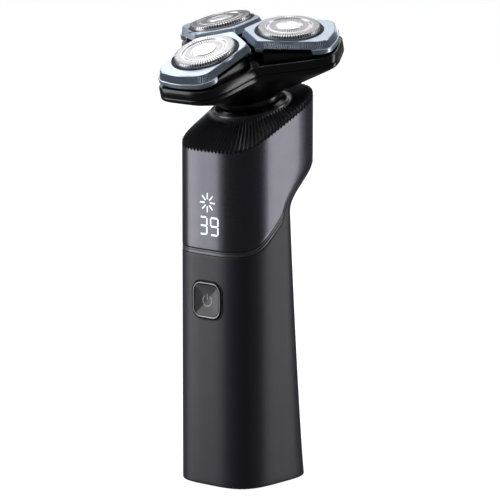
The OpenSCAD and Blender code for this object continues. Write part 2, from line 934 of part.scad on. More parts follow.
// Wall of the hair chamber under one unit, open at its outer end for the ring's hinge
module chamber_ring(angle) {
    intersection() {
        rotate([0, 0, angle])
            translate([unit_r, 0, unit_s])
                rotate([0, unit_tilt, 0])
                    translate([0, 0, chamber_low])
                        linear_extrude(height = chamber_high - chamber_low)
                            difference() {
                                polygon(plate_plan(-chamber_in));
                                polygon(plate_plan(-chamber_in - chamber_wall));
                                translate([chamber_gap_x, -chamber_gap_half])
                                    square([10, 2 * chamber_gap_half]);
                            }
        rod(2 * lobe_len, frame_deck_low + 0.2, unit_s);
    }
}

module head_frame() {
    color([0.05, 0.05, 0.055])
        at_head()
            difference() {
                union() {
                    for (u = UNIT_ANGLES) chamber_ring(u);
                    translate([0, 0, frame_rim_low])
                        linear_extrude(height = frame_rim_high - frame_rim_low)
                            difference() {
                                polygon(lobe_plan(0));
                                polygon(lobe_plan(frame_wall));
                            }
                    translate([0, 0, frame_deck_low])
                        linear_extrude(height = frame_rim_high - frame_deck_low)
                            polygon(lobe_plan(0.9));
                    rod(4, frame_deck_low, frame_rim_high + 0.6);
                    for (u = UNIT_ANGLES, y = [-1, 1])
                        rotate([0, 0, u])
                            block(
                                [hinge_r - 1.2, min(y * hinge_ear_in, y * hinge_ear_out), frame_rim_high - 0.4],
                                [hinge_r + 1.05, max(y * hinge_ear_in, y * hinge_ear_out), hinge_s + 1.1]
                            );
                }
                translate([0, 0, frame_deck_low - 1])
                    cylinder(r = centre_pin_r + run, h = frame_rim_high - frame_deck_low + 1.15, $fn = small_fn);
                for (u = UNIT_ANGLES)
                    rotate([0, 0, u]) {
                        translate([spindle_r, 0, 0])
                            hole(frame_hole_r, frame_deck_low, frame_rim_high, round_fn);
                        translate([hinge_r, 0, hinge_s])
                            rotate([90, 0, 0]) hole(hinge_pin_r + run, -hinge_ear_out, hinge_ear_out);
                    }
            }
}

// ---- Shaving unit ----

// Hinge axis of the ring, in the unit's own frame
hinge_x = (hinge_r - unit_r) * cos(unit_tilt) + (unit_s - hinge_s) * sin(unit_tilt);
hinge_z = (hinge_r - unit_r) * sin(unit_tilt) - (unit_s - hinge_s) * cos(unit_tilt);

module blade_ring(i) {
    color([0.62, 0.7, 0.78])
        at_unit(i) {
            translate([0, 0, -ring_top_t])
                linear_extrude(height = ring_top_t)
                    difference() {
                        polygon(plate_plan(-0.8));
                        circle(r = ring_hole_r, $fn = round_fn);
                    }
            translate([0, 0, -ring_knurl])
                linear_extrude(height = ring_knurl - 0.3)
                    difference() {
                        polygon(plate_plan(0));
                        polygon(plate_plan(-ring_wall));
                    }
            translate([0, 0, -ring_skirt])
                linear_extrude(height = ring_skirt - ring_knurl + 0.2)
                    intersection() {
                        difference() {
                            polygon(plate_plan(0.3));
                            polygon(plate_plan(-0.9));
                        }
                        translate([9.5, -20]) square([12, 40]);
                    }
            for (y = [-1, 1]) {
                block(
                    [hinge_x - lug_half, min(y * hinge_lug_in, y * hinge_lug_out), hinge_z - 0.75],
                    [hinge_x + lug_half, max(y * hinge_lug_in, y * hinge_lug_out), 0.1 - ring_top_t]
                );
                translate([hinge_x, 0, hinge_z])
                    rotate([-90 * y, 0, 0]) rod(hinge_pin_r, hinge_ear_in + 0.1, hinge_lug_in + 0.5);
            }
        }
}

module outer_comb(i) {
    skin_low = comb_top - comb_skin;
    flange_top = comb_flange_low + comb_flange_t;
    color([0.82, 0.82, 0.84])
        at_unit(i)
            difference() {
                rotate_extrude($fn = round_fn)
                    polygon([
                        [disc_r + 0.05, comb_top - 0.15], [groove_in, comb_top - 0.15],
                        [groove_in + 0.2, comb_top - groove_depth], [groove_out - 0.2, comb_top - groove_depth],
                        [groove_out, comb_top], [comb_r - 0.3, comb_top], [comb_r, comb_top - 0.3],
                        [comb_r, flange_top], [comb_flange_r, flange_top], [comb_flange_r, comb_flange_low],
                        [comb_r - comb_side, comb_flange_low], [comb_r - comb_side, skin_low],
                        [groove_out, skin_low], [groove_out, skin_low - 0.05], [0, skin_low - 0.05],
                        [0, skin_low + 0.2], [disc_r + 0.05, skin_low + 0.2]
                    ]);
                for (k = [0:slot_count - 1])
                    rotate([0, 0, k * 360 / slot_count])
                        translate([slot_in, -slot_w / 2, 0]) cube([slot_len, slot_w, 3]);
            }
}

module comb_disc(i) {
    color([0.93, 0.93, 0.95])
        at_unit(i)
            translate([0, 0, comb_top - comb_skin + 0.22])
                rotate_extrude($fn = round_fn)
                    polygon([[0, 0], [disc_r, 0], [disc_r, 0.45], [disc_r - 0.25, 0.62], [0, 0.72]]);
}

module inner_cutter(i) {
    color([0.7, 0.7, 0.72])
        at_unit(i) {
            tube(cutter_r, hub_boss_r + run, cutter_low, cutter_low + cutter_t);
            for (k = [0:cutter_blades - 1])
                rotate([0, 0, k * 360 / cutter_blades])
                    block([8.6, -0.25, cutter_low + 0.3], [cutter_r - 0.1, 0.25, blade_top]);
        }
}

module cutter_hub(i) {
    color([0.15, 0.15, 0.16])
        at_unit(i)
            difference() {
                union() {
                    rod(hub_r, hub_low, cutter_low - 0.02, round_fn);
                    rod(5, cutter_low - 0.6, cutter_low - 0.02, round_fn);
                    rod(hub_boss_r, cutter_low - 0.3, cutter_low + cutter_t + 0.3, round_fn);
                }
                translate([0, 0, hub_low - 1])
                    cylinder(r = hub_socket_r, h = hub_socket_top - hub_low + 1, $fn = small_fn);
            }
}

// ---- Drawing ----

grip_casing();
display_cover();
trim_strip();
ribbed_collar();
base_cap();
base_gasket();
base_screws();
charging_socket();
inner_frame();
frame_screws();
circuit_board();
display_module();
tactile_switch();
battery_cell();
battery_tabs();
motor_can();
motor_mount();
motor_seal();
neck_base();
button_seal();
power_button();
button_ring();
motor_shaft();
motor_armature();
drive_ball();
gimbal_ring();
head_bowl();
gear_deck();
gear_cover();
head_gasket();
head_screws();
sun_gear();
head_frame();
for (i = [0:2]) {
    planet_gear(i);
    spindle_spring(i);
    blade_ring(i);
    outer_comb(i);
    comb_disc(i);
    inner_cutter(i);
    cutter_hub(i);
}
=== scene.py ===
import math

import bmesh
import bpy
import numpy as np
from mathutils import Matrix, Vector


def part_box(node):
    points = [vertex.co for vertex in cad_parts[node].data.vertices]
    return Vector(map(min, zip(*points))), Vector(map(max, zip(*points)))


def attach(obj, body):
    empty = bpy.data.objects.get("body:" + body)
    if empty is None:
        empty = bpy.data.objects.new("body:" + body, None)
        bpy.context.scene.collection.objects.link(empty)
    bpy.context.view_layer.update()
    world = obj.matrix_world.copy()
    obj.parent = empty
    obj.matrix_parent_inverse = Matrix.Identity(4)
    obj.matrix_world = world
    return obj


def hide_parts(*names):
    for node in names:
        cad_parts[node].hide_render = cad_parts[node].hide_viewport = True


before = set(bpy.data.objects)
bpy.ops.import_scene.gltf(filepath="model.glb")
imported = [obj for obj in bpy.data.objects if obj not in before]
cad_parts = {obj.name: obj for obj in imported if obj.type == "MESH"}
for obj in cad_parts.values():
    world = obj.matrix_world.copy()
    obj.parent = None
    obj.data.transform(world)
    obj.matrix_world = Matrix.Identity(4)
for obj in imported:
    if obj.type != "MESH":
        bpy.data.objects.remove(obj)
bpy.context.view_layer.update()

MM = 0.001
SIDES = ("front", "right", "left")
UNIT_ANGLES = (-90, 30, 150)

# ---- Sizes shared with the CAD model, in millimetres ----

HALF_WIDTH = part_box("grip_casing")[1].x / MM
FRONT_Y = 20.0
BASE_BACK = 19.0
WAIST_IN = 10.8
WAIST_Z = 97.0
WAIST_RISE = 16.0
WAIST_POWER = 0.85
TOP_BACK = 24.2
CORNER = 0.54
WALL = 1.7
EDGE_ROUND = 1.0
CASING_FOOT = 0.3
SEAM = 0.12

SEAM_FRONT_Z = 82.5
SEAM_SLOPE = 0.96
SEAM_START_Y = -12.0
SEAM_SOFT = 6.0
TRIM_WIDTH = 1.7

COLLAR_FRONT_Z = 119.5
COLLAR_SLOPE = math.tan(math.radians(22.4))
COLLAR_WALL = 2.0
COLLAR_INSET = WALL + 0.3
SCALLOP_DEPTH = 0.75
RIB_DEPTH = 0.8

HEAD_LEAN = math.radians(15)
NECK_Y = 3.0
NECK_Z = 135.0
NECK_R = 12.5
NECK_LOW = -4.85
NECK_RING_S = -1.5
LOBE_LEN = 35.0
LOBE_HALF = 13.8
LOBE_POWER = 5
LOBE_BLEND = 12

GIMBAL_S = 3.0
BOWL_BALL = 11.8
BOWL_BALL_IN = 10.6
BOWL_LOW = -1.0
BOWL_CONE = 2.4
BOWL_RIM = 13.25
BOWL_WALL = 1.8
# How far the bowl has opened from its round neck to the three lobes: heights and shares
BOWL_HEIGHTS = (BOWL_CONE, 6.3, 10.9, 11.6, 12.0, 14.0)
BOWL_SHARES = (0, 0.43, 0.93, 0.985, 1, 1)
RIM_LOW = 13.35
RIM_HIGH = 16.5
DECK_LOW = 15.2
FRAME_WALL = 1.8
FRAME_HOLE = 10.4
SPINDLE_R = 17.25
HINGE_R = 30.1
HINGE_S = 17.6
HINGE_PIN = 0.7

UNIT_R = 18.2
UNIT_S = 24.0
UNIT_TILT = math.radians(8)
HINGE_X = (HINGE_R - UNIT_R) * math.cos(UNIT_TILT) + (UNIT_S - HINGE_S) * math.sin(UNIT_TILT)
HINGE_Z = (HINGE_R - UNIT_R) * math.sin(UNIT_TILT) - (UNIT_S - HINGE_S) * math.cos(UNIT_TILT)
PLATE_IN = 17.2
PLATE_OUT = 15.3
PLATE_BOW = 17.2
PLATE_HALF = 13.2
PLATE_END_HALF = 11.8
RING_TOP = -1.3
RING_WALL_LOW = -2.8
RING_SKIRT_LOW = -4.6
RING_HOLE = 11.15
RING_BEVEL = 12.25
KNURL_DEPTH = 0.34

BUTTON_Z = 66.5
BUTTON_FACE = -20.35
BUTTON_STEP = -19.6
BUTTON_BACK = -17.9
PAD_SIZE = 11.0
PAD_DEPTH = 0.55
SIGN_LIFT = 0.03

DIGIT_Z = 92.9
DIGIT_HEIGHT = 6.0
DIGIT_HALF = 0.29
DIGIT_GAP = 0.25
BURST_X, BURST_Z = 0.2, 101.1
BURST_INNER, BURST_OUTER = 1.2, 3.4
BURST_HALF = 0.24
BURST_RAYS = 8

# Number of points round each kind of shape
HANDLE_COLS = 256
RIB_COUNT = 84
RIB_STEPS = 8
COLLAR_COLS = RIB_COUNT * RIB_STEPS
HEAD_COLS = 360
KNURL_COUNT = 150
KNURL_STEPS = 6
RING_COLS = KNURL_COUNT * KNURL_STEPS
COMB_COLS = 576
SKIRT_COLS = 720
CHAMBER_COLS = 240
ROUND_COLS = 96
BUTTON_COLS = 128
ROD_COLS = 24


# ---- Mesh helpers ----

def grid_faces(rows, cols, wrap=False):
    """Quads of rows of points, each row closed on itself. With wrap the last row joins the first."""
    i, j = np.meshgrid(np.arange(rows if wrap else rows - 1), np.arange(cols), indexing="ij")
    i2, j2 = (i + 1) % rows, (j + 1) % cols
    return np.stack([i * cols + j, i * cols + j2, i2 * cols + j2, i2 * cols + j], -1).reshape(-1, 4).tolist()


def make_object(name, verts, faces):
    """A mesh object from points in millimetres."""
    mesh = bpy.data.meshes.new(name)
    mesh.from_pydata((np.asarray(verts, float).reshape(-1, 3) * MM).tolist(), [], faces)
    mesh.update()
    obj = bpy.data.objects.new(name, mesh)
    bpy.context.scene.collection.objects.link(obj)
    return obj


def loft(name, rings, caps=False):
    """A closed shell through rings of points, or a solid with flat caps at its first and last ring."""
    rings = np.asarray(rings)
    rows, cols = rings.shape[:2]
    faces = grid_faces(rows, cols, wrap=not caps)
    if caps:
        faces.append(list(range(cols))[::-1])
        faces.append(list(range((rows - 1) * cols, rows * cols)))
    return make_object(name, rings, faces)


def lathe(name, profile, cols, place):
    """A closed loop of (radius, height) points turned about Z, then placed."""
    turn = np.linspace(0, 2 * np.pi, cols, endpoint=False)
    rings = [np.stack([r * np.cos(turn), r * np.sin(turn), np.full(cols, z)], -1) for r, z in profile]
    return loft(name, place(np.array(rings)))


def box_mesh(name, low, high, place, bevel):
    """A block between two corners with rounded edges."""
    corners = [(x, y, z) for z in (low[2], high[2]) for x, y in
               ((low[0], low[1]), (high[0], low[1]), (high[0], high[1]), (low[0], high[1]))]
    faces = [(3, 2, 1, 0), (4, 5, 6, 7), (0, 1, 5, 4), (1, 2, 6, 5), (2, 3, 7, 6), (3, 0, 4, 7)]
    obj = make_object(name, place(np.array(corners, float)), faces)
    soften(obj, bevel, 2)
    return obj


def rod_mesh(name, radius, start, end, place):
    """A round pin along Y between two places, with its ends chamfered."""
    turn = np.linspace(0, 2 * np.pi, ROD_COLS, endpoint=False)
    chamfer = 0.15
    step = math.copysign(chamfer, end[1] - start[1])
    rows = [(radius - chamfer, start[1]), (radius, start[1] + step), (radius, end[1] - step),
            (radius - chamfer, end[1])]
    rings = [np.stack([start[0] + r * np.cos(turn), np.full(ROD_COLS, y), start[2] + r * np.sin(turn)], -1)
             for r, y in rows]
    obj = loft(name, place(np.array(rings)), caps=True)
    fix_normals(obj)
    return obj


def apply_modifiers(obj):
    """Writes the result of an object's modifiers into its mesh."""
    evaluated = obj.evaluated_get(bpy.context.evaluated_depsgraph_get())
    mesh = bpy.data.meshes.new_from_object(evaluated)
    old = obj.data
    obj.modifiers.clear()
    obj.data = mesh
    bpy.data.meshes.remove(old)


def soften(obj, width, segments):
    """Rounds the sharp edges of a mesh by a width in millimetres."""
    bevel = obj.modifiers.new("bevel", "BEVEL")
    bevel.width = width * MM
    bevel.segments = segments
    bevel.limit_method = "ANGLE"
    bevel.angle_limit = math.radians(40)
    apply_modifiers(obj)


def cut(obj, cutter):
    """Takes the cutter's volume out of the object and removes the cutter."""
    boolean = obj.modifiers.new("cut", "BOOLEAN")
    boolean.operation = "DIFFERENCE"
    boolean.solver = "EXACT"
    boolean.object = cutter
    apply_modifiers(obj)
    bpy.data.objects.remove(cutter)


def fix_normals(obj):
    """Turns every face outwards."""
    mesh = bmesh.new()
    mesh.from_mesh(obj.data)
    bmesh.ops.recalc_face_normals(mesh, faces=mesh.faces)
    mesh.to_mesh(obj.data)
    mesh.free()


def join(name, objects):
    """One object from several meshes."""
    whole = bmesh.new()
    for obj in objects:
        whole.from_mesh(obj.data)
        bpy.data.objects.remove(obj)
    mesh = bpy.data.meshes.new(name)
    whole.to_mesh(mesh)
    whole.free()
    joined = bpy.data.objects.new(name, mesh)
    bpy.context.scene.collection.objects.link(joined)
    return joined


def finish_piece(obj, material, body, replaced=(), sharp=32, inside=None):
    """Shades, paints and declares a piece. Faces of material index 1 take the inside's material; on the comb that is
    painted shade.
    """
    obj.data.materials.clear()
    obj.data.materials.append(material)
    if inside:
        obj.data.materials.append(inside)
    else:
        obj.data.polygons.foreach_set("material_index", [0] * len(obj.data.polygons))
    obj.data.polygons.foreach_set("use_smooth", [True] * len(obj.data.polygons))
    obj.data.set_sharp_from_angle(angle=math.radians(sharp))
    obj.data.update()
    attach(obj, body)
    if replaced:
        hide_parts(*replaced)


# ---- Shape of the handle ----

def smooth(t):
    c = np.clip(t, 0, 1)
    return c * c * (3 - 2 * c)


def signed_pow(v, p):
    return np.sign(v) * np.abs(v) ** p


def back_y(z):
    """Distance from the handle's axis to its back at a height."""
    waist = WAIST_IN * (np.minimum(z, WAIST_Z) / WAIST_Z) ** WAIST_POWER
    return BASE_BACK - waist + (TOP_BACK - BASE_BACK + WAIST_IN) * smooth((z - WAIST_Z) / WAIST_RISE)


def handle_point(a, z, inset):
    """Points on the handle's surface, moved in by an inset."""
    z = z + 0 * a
    reach = np.where(np.sin(a) < 0, FRONT_Y, back_y(z))
    x = (HALF_WIDTH - inset) * signed_pow(np.cos(a), CORNER)
    y = (reach - inset) * signed_pow(np.sin(a), CORNER)
    return np.stack([x, y, z], -1)


def front_surface(x, z):
    """Y of the handle's front at a place."""
    cosine = (np.abs(x) / HALF_WIDTH) ** (1 / CORNER)
    return -FRONT_Y * np.sqrt(1 - cosine ** 2) ** CORNER + 0 * z


def top_y(a):
    return np.where(np.sin(a) < 0, FRONT_Y, TOP_BACK) * signed_pow(np.sin(a), CORNER)


def climb(a):
    """Slope of the seam as a share of its full slope: 0 at the front, 1 along the sides."""
    u = top_y(a) - SEAM_START_Y
    return (1 + u / np.sqrt(u * u + SEAM_SOFT ** 2)) / 2


def seam_z(a):
    u = top_y(a) - SEAM_START_Y
    return SEAM_FRONT_Z + SEAM_SLOPE * (u + np.sqrt(u * u + SEAM_SOFT ** 2)) / 2


def trim_half(a):
    return TRIM_WIDTH / 2 * np.sqrt(1 + (SEAM_SLOPE * climb(a)) ** 2)


def collar_z(a):
    return COLLAR_FRONT_Z + (top_y(a) + FRONT_Y) * COLLAR_SLOPE


def even_angles(cols):
    """Angles whose points lie evenly along the handle's top section, starting at the middle of the front."""
    fine = np.linspace(-np.pi / 2, 3 * np.pi / 2, 200001)
    at = np.stack([HALF_WIDTH * signed_pow(np.cos(fine), CORNER), top_y(fine)], -1)
    run = np.concatenate([[0], np.cumsum(np.linalg.norm(np.diff(at, axis=0), axis=1))])
    return np.interp(np.arange(cols) / cols * run[-1], run, fine)


def in_head(p):
    """From the head's frame, Z along the leaning axis, to the object's frame."""
    p = np.asarray(p, float)
    c, s = math.cos(HEAD_LEAN), math.sin(HEAD_LEAN)
    y = NECK_Y + p[..., 1] * c - p[..., 2] * s
    z = NECK_Z + p[..., 1] * s + p[..., 2] * c
    return np.stack([p[..., 0], y, z], -1)


def in_arm(i):
    """From a frame turned to a unit's direction to the object's frame."""
    turn = math.radians(UNIT_ANGLES[i])
    c, s = math.cos(turn), math.sin(turn)

    def place(p):
        p = np.asarray(p, float)
        return in_head(np.stack([p[..., 0] * c - p[..., 1] * s, p[..., 0] * s + p[..., 1] * c, p[..., 2]], -1))
    return place


def in_unit(i):
    """From a shaving unit's own frame to the object's frame."""
    arm = in_arm(i)
    c, s = math.cos(UNIT_TILT), math.sin(UNIT_TILT)

    def place(p):
        p = np.asarray(p, float)
        x = UNIT_R + p[..., 0] * c + p[..., 2] * s
        z = UNIT_S - p[..., 0] * s + p[..., 2] * c
        return arm(np.stack([x, p[..., 1], z], -1))
    return place


# ---- Outlines ----

def rounded_outline(corners, radii, cols):
    """Even points round a polygon with rounded corners, starting near its first corner."""
    corners = np.asarray(corners, float)
    path = []
    for k, (p, r) in enumerate(zip(corners, radii)):
        u = corners[k - 1] - p
        v = corners[(k + 1) % len(corners)] - p
        u, v = u / np.linalg.norm(u), v / np.linalg.norm(v)
        half = math.acos(np.clip(u @ v, -1, 1)) / 2
        centre = p + (u + v) / np.linalg.norm(u + v) * r / math.sin(half)
        first = p + u * r / math.tan(half) - centre
        start = math.atan2(first[1], first[0])
        turn = math.copysign(math.pi - 2 * half, u[1] * v[0] - u[0] * v[1])
        steps = start + turn * np.linspace(0, 1, 40)
        path.append(centre + r * np.stack([np.cos(steps), np.sin(steps)], -1))
    path = np.concatenate(path)
    closed = np.vstack([path, path[:1]])
    run = np.concatenate([[0], np.cumsum(np.linalg.norm(np.diff(closed, axis=0), axis=1))])
    at = np.arange(cols) / cols * run[-1]
    return np.stack([np.interp(at, run, closed[:, 0]), np.interp(at, run, closed[:, 1])], -1)


def plate_outline(grow, cols=RING_COLS):
    """Five-sided outline of a blade ring: a point towards the head's axis and a bowed outer end."""
    s60, t60 = math.sin(math.radians(60)), math.tan(math.radians(60))
    point = PLATE_IN + grow / s60
    shoulder = PLATE_IN - PLATE_HALF / t60 + grow / s60 - grow / t60
    half, end_half = PLATE_HALF + grow, PLATE_END_HALF + grow
    corners = [(-point, 0), (-shoulder, -half), (PLATE_OUT + grow, -end_half), (PLATE_BOW + grow, 0),
               (PLATE_OUT + grow, end_half), (-shoulder, half)]
    return rounded_outline(corners, [3 + grow, 5 + grow, 5.5 + grow, 25, 5.5 + grow, 5 + grow], cols)


def square_outline(size, r, cols=ROUND_COLS):
    h = size / 2
    return rounded_outline([(h, -h), (h, h), (-h, h), (-h, -h)], [r] * 4, cols)


def outline_normals(points):
    """Outward normals of a closed outline that runs anticlockwise."""
    along = np.roll(points, -1, 0) - np.roll(points, 1, 0)
    along /= np.linalg.norm(along, axis=1)[:, None]
    return np.stack([along[:, 1], -along[:, 0]], -1)


def lobe_edge(a, inset):
    """Radius of the three-lobed outline at an angle."""
    total = 0
    for u in UNIT_ANGLES:
        d = a - math.radians(u)
        c, s = np.cos(d), np.abs(np.sin(d))
        reach = ((np.maximum(c, 1e-9) / (LOBE_LEN - inset)) ** LOBE_POWER
                 + (s / (LOBE_HALF - inset)) ** LOBE_POWER) ** (-1 / LOBE_POWER)
        total = total + np.where(c > 0, reach, 0) ** LOBE_BLEND
    return total ** (1 / LOBE_BLEND)


def lobe_ring(inset, s, circle=0.0, share=1.0):
    """Points round the head at a height, from a circle (share 0) to the three lobes (share 1)."""
    a = np.linspace(0, 2 * np.pi, HEAD_COLS, endpoint=False)
    r = circle + (lobe_edge(a, inset) - circle) * share
    return np.stack([r * np.cos(a), r * np.sin(a), np.full(HEAD_COLS, float(s))], -1)


# ---- Materials ----

def new_material(name):
    material = bpy.data.materials.new(name)
    material.use_nodes = True
    tree = material.node_tree
    return material, tree, tree.nodes["Principled BSDF"]


def add_node(tree, kind, **settings):
    made = tree.nodes.new(kind)
    for key, value in settings.items():
        if key in made.inputs:
            made.inputs[key].default_value = value
        else:
            setattr(made, key, value)
    return made


def object_coords(tree):
    """Coordinates of the object's own space in metres."""
    return add_node(tree, "ShaderNodeTexCoord").outputs["Object"]


def noise(tree, vector, per_mm, detail=3.0):
    made = add_node(tree, "ShaderNodeTexNoise", Scale=per_mm / MM, Detail=detail)
    tree.links.new(vector, made.inputs["Vector"])
    return made.outputs["Fac"]


def spread(tree, factor, low, high):
    """Maps a noise factor onto a range of values."""
    made = add_node(tree, "ShaderNodeMapRange")
    made.inputs["From Min"].default_value = 0.3
    made.inputs["From Max"].default_value = 0.7
    made.inputs["To Min"].default_value = low
    made.inputs["To Max"].default_value = high
    tree.links.new(factor, made.inputs["Value"])
    return made.outputs["Result"]


def two_tone(tree, factor, low, high):
    made = add_node(tree, "ShaderNodeMix", data_type="RGBA")
    made.inputs["A"].default_value = (*low, 1)
    made.inputs["B"].default_value = (*high, 1)
    tree.links.new(factor, made.inputs["Factor"])
    return made.outputs["Result"]


def bump(tree, shader, height, depth_mm, strength=1.0):
    made = add_node(tree, "ShaderNodeBump", Strength=strength, Distance=depth_mm * MM)
    tree.links.new(height, made.inputs["Height"])
    tree.links.new(made.outputs["Normal"], shader.inputs["Normal"])


def surface(name, colour, roughness, metallic=0.0, coat=0.0, coat_rough=0.05, grain_per_mm=4.0, grain_mm=0.01,
            vary=0.12, rough_vary=0.06, specular=0.5):
    """A finish with fine grain in its relief, cloudy changes of tone and changes of gloss."""
    material, tree, shader = new_material(name)
    vector = object_coords(tree)
    cloud = noise(tree, vector, 0.12, 4.0)
    grain = noise(tree, vector, grain_per_mm, 2.0)
    low = tuple(c * (1 - vary) for c in colour)
    high = tuple(min(1, c * (1 + vary)) for c in colour)
    tree.links.new(two_tone(tree, spread(tree, cloud, 0, 1), low, high), shader.inputs["Base Color"])
    rough = spread(tree, grain, max(0.02, roughness - rough_vary), roughness + rough_vary)
    tree.links.new(rough, shader.inputs["Roughness"])
    shader.inputs["Metallic"].default_value = metallic
    shader.inputs["Coat Weight"].default_value = coat
    shader.inputs["Coat Roughness"].default_value = coat_rough
    shader.inputs["Specular IOR Level"].default_value = specular
    bump(tree, shader, grain, grain_mm)
    return material


def unit_radius(tree, i):
    """Distance from a shaving unit's axis in metres, and the object's own coordinates."""
    unit = in_unit(i)
    origin = unit((0, 0, 0))
    axis = unit((0, 0, 1)) - origin
    vector = object_coords(tree)
    away = add_node(tree, "ShaderNodeVectorMath", operation="SUBTRACT")
    away.inputs[1].default_value = origin * MM
    tree.links.new(vector, away.inputs[0])
    across = add_node(tree, "ShaderNodeVectorMath", operation="CROSS_PRODUCT")
    across.inputs[1].default_value = axis
    tree.links.new(away.outputs["Vector"], across.inputs[0])
    length = add_node(tree, "ShaderNodeVectorMath", operation="LENGTH")
    tree.links.new(across.outputs["Vector"], length.inputs[0])
    return length.outputs["Value"], vector


def turned_metal(name, i, colour, roughness, rings_per_mm, ring_mm, metallic=1.0, vary=0.1):
    """Metal with fine lathe marks round a shaving unit's axis."""
    material, tree, shader = new_material(name)
    radius, vector = unit_radius(tree, i)
    scale = add_node(tree, "ShaderNodeMath", operation="MULTIPLY")
    scale.inputs[1].default_value = rings_per_mm / MM
    tree.links.new(radius, scale.inputs[0])
    marks = add_node(tree, "ShaderNodeTexNoise", noise_dimensions="1D", Scale=1.0, Detail=2.0)
    tree.links.new(scale.outputs["Value"], marks.inputs["W"])
    cloud = noise(tree, vector, 0.25, 3.0)
    low = tuple(c * (1 - vary) for c in colour)
    tree.links.new(two_tone(tree, spread(tree, cloud, 0, 1), low, colour), shader.inputs["Base Color"])
    rough = spread(tree, marks.outputs["Fac"], roughness * 0.85, roughness * 1.15)
    tree.links.new(rough, shader.inputs["Roughness"])
    shader.inputs["Metallic"].default_value = metallic
    bump(tree, shader, marks.outputs["Fac"], ring_mm, 0.5)
    return material


def glow(name, colour, strength):
    """Light that shines through the cover, slightly uneven."""
    material, tree, shader = new_material(name)
    cloud = noise(tree, object_coords(tree), 0.8, 2.0)
    dim = tuple(c * 0.82 for c in colour)
    tone = two_tone(tree, spread(tree, cloud, 0, 1), dim, colour)
    tree.links.new(tone, shader.inputs["Base Color"])
    tree.links.new(tone, shader.inputs["Emission Color"])
    tree.links.new(spread(tree, cloud, 0.35, 0.5), shader.inputs["Roughness"])
    shader.inputs["Emission Strength"].default_value = strength
    bump(tree, shader, cloud, 0.005)
    return material


GRIP = surface("grip_satin", (0.026, 0.024, 0.038), 0.42, grain_per_mm=7, grain_mm=0.006, vary=0.06, specular=0.4)
PANEL = surface("panel_gloss", (0.068, 0.066, 0.082), 0.28, metallic=0.85, grain_per_mm=9, grain_mm=0.0015,
                vary=0.05, rough_vary=0.02, coat=0.25, coat_rough=0.1)
TRIM = surface("trim_satin", (0.10, 0.10, 0.11), 0.34, metallic=0.6, grain_per_mm=9, grain_mm=0.0015)
COLLAR = surface("collar_black", (0.030, 0.030, 0.034), 0.30, coat=0.4, coat_rough=0.2, grain_per_mm=8,
                 grain_mm=0.003)
GLOSS = surface("gloss_black", (0.003, 0.003, 0.004), 0.24, grain_per_mm=0.7, grain_mm=0.0004, rough_vary=0.03,
                specular=0.45)
BLACK = surface("moulded_black", (0.010, 0.010, 0.012), 0.38, grain_per_mm=7, grain_mm=0.005)
# Painted shade: near-black stands in for the shadow in the comb slots, under the comb sheet and in the gap round
# each comb.
PAINTED_SHADE = surface("painted_shade_black", (0.006, 0.006, 0.007), 0.6, grain_per_mm=7, grain_mm=0.004, specular=0.2)
RUBBER = surface("seal_black", (0.008, 0.008, 0.009), 0.55, grain_per_mm=9, grain_mm=0.006)
PAD = surface("pad_black", (0.003, 0.003, 0.004), 0.38, coat=0.1, coat_rough=0.2, grain_per_mm=9, grain_mm=0.002)
STEEL = surface("screw_steel", (0.55, 0.55, 0.57), 0.28, metallic=1, grain_per_mm=6, grain_mm=0.003)
CUTTER = surface("cutter_steel", (0.03, 0.03, 0.035), 0.6, metallic=0.3, grain_per_mm=6, grain_mm=0.002)
SILVER = surface("bright_metal", (0.16, 0.16, 0.18), 0.32, metallic=1, grain_per_mm=5, grain_mm=0.001, vary=0.06)
GEAR = surface("gear_plastic", (0.72, 0.71, 0.66), 0.42, grain_per_mm=5, grain_mm=0.004, vary=0.04)
GREY = surface("inner_plastic", (0.20, 0.20, 0.22), 0.5, grain_per_mm=5, grain_mm=0.006)
BOARD = surface("circuit_board", (0.02, 0.12, 0.05), 0.35, grain_per_mm=1.5, grain_mm=0.01, vary=0.3)
LIGHT_BOX = surface("display_body", (0.75, 0.76, 0.78), 0.4, grain_per_mm=4, grain_mm=0.003)
WRAP = surface("cell_wrap", (0.04, 0.20, 0.12), 0.32, coat=0.3, grain_per_mm=1, grain_mm=0.006)
COPPER = surface("copper", (0.72, 0.33, 0.18), 0.35, metallic=1, grain_per_mm=4, grain_mm=0.02)
RED_SEAL = surface("red_seal", (0.35, 0.06, 0.03), 0.5, grain_per_mm=6, grain_mm=0.006)
GLOW = glow("display_glow", (0.80, 0.88, 1.0), 1.3)
ICON = surface("icon_grey", (0.45, 0.47, 0.50), 0.4, grain_per_mm=6, grain_mm=0.001)
BLUE = [turned_metal(f"blue_metal_{s}", i, (0.44, 0.51, 0.60), 0.36, 2.0, 0.0004, 0.8) for i, s in enumerate(SIDES)]
COMB = [turned_metal(f"comb_steel_{s}", i, (0.66, 0.65, 0.67), 0.32, 3.0, 0.0008) for i, s in enumerate(SIDES)]
DISC = [turned_metal(f"disc_steel_{s}", i, (0.72, 0.72, 0.74), 0.32, 4.0, 0.0008) for i, s in enumerate(SIDES)]


# ---- Handle ----

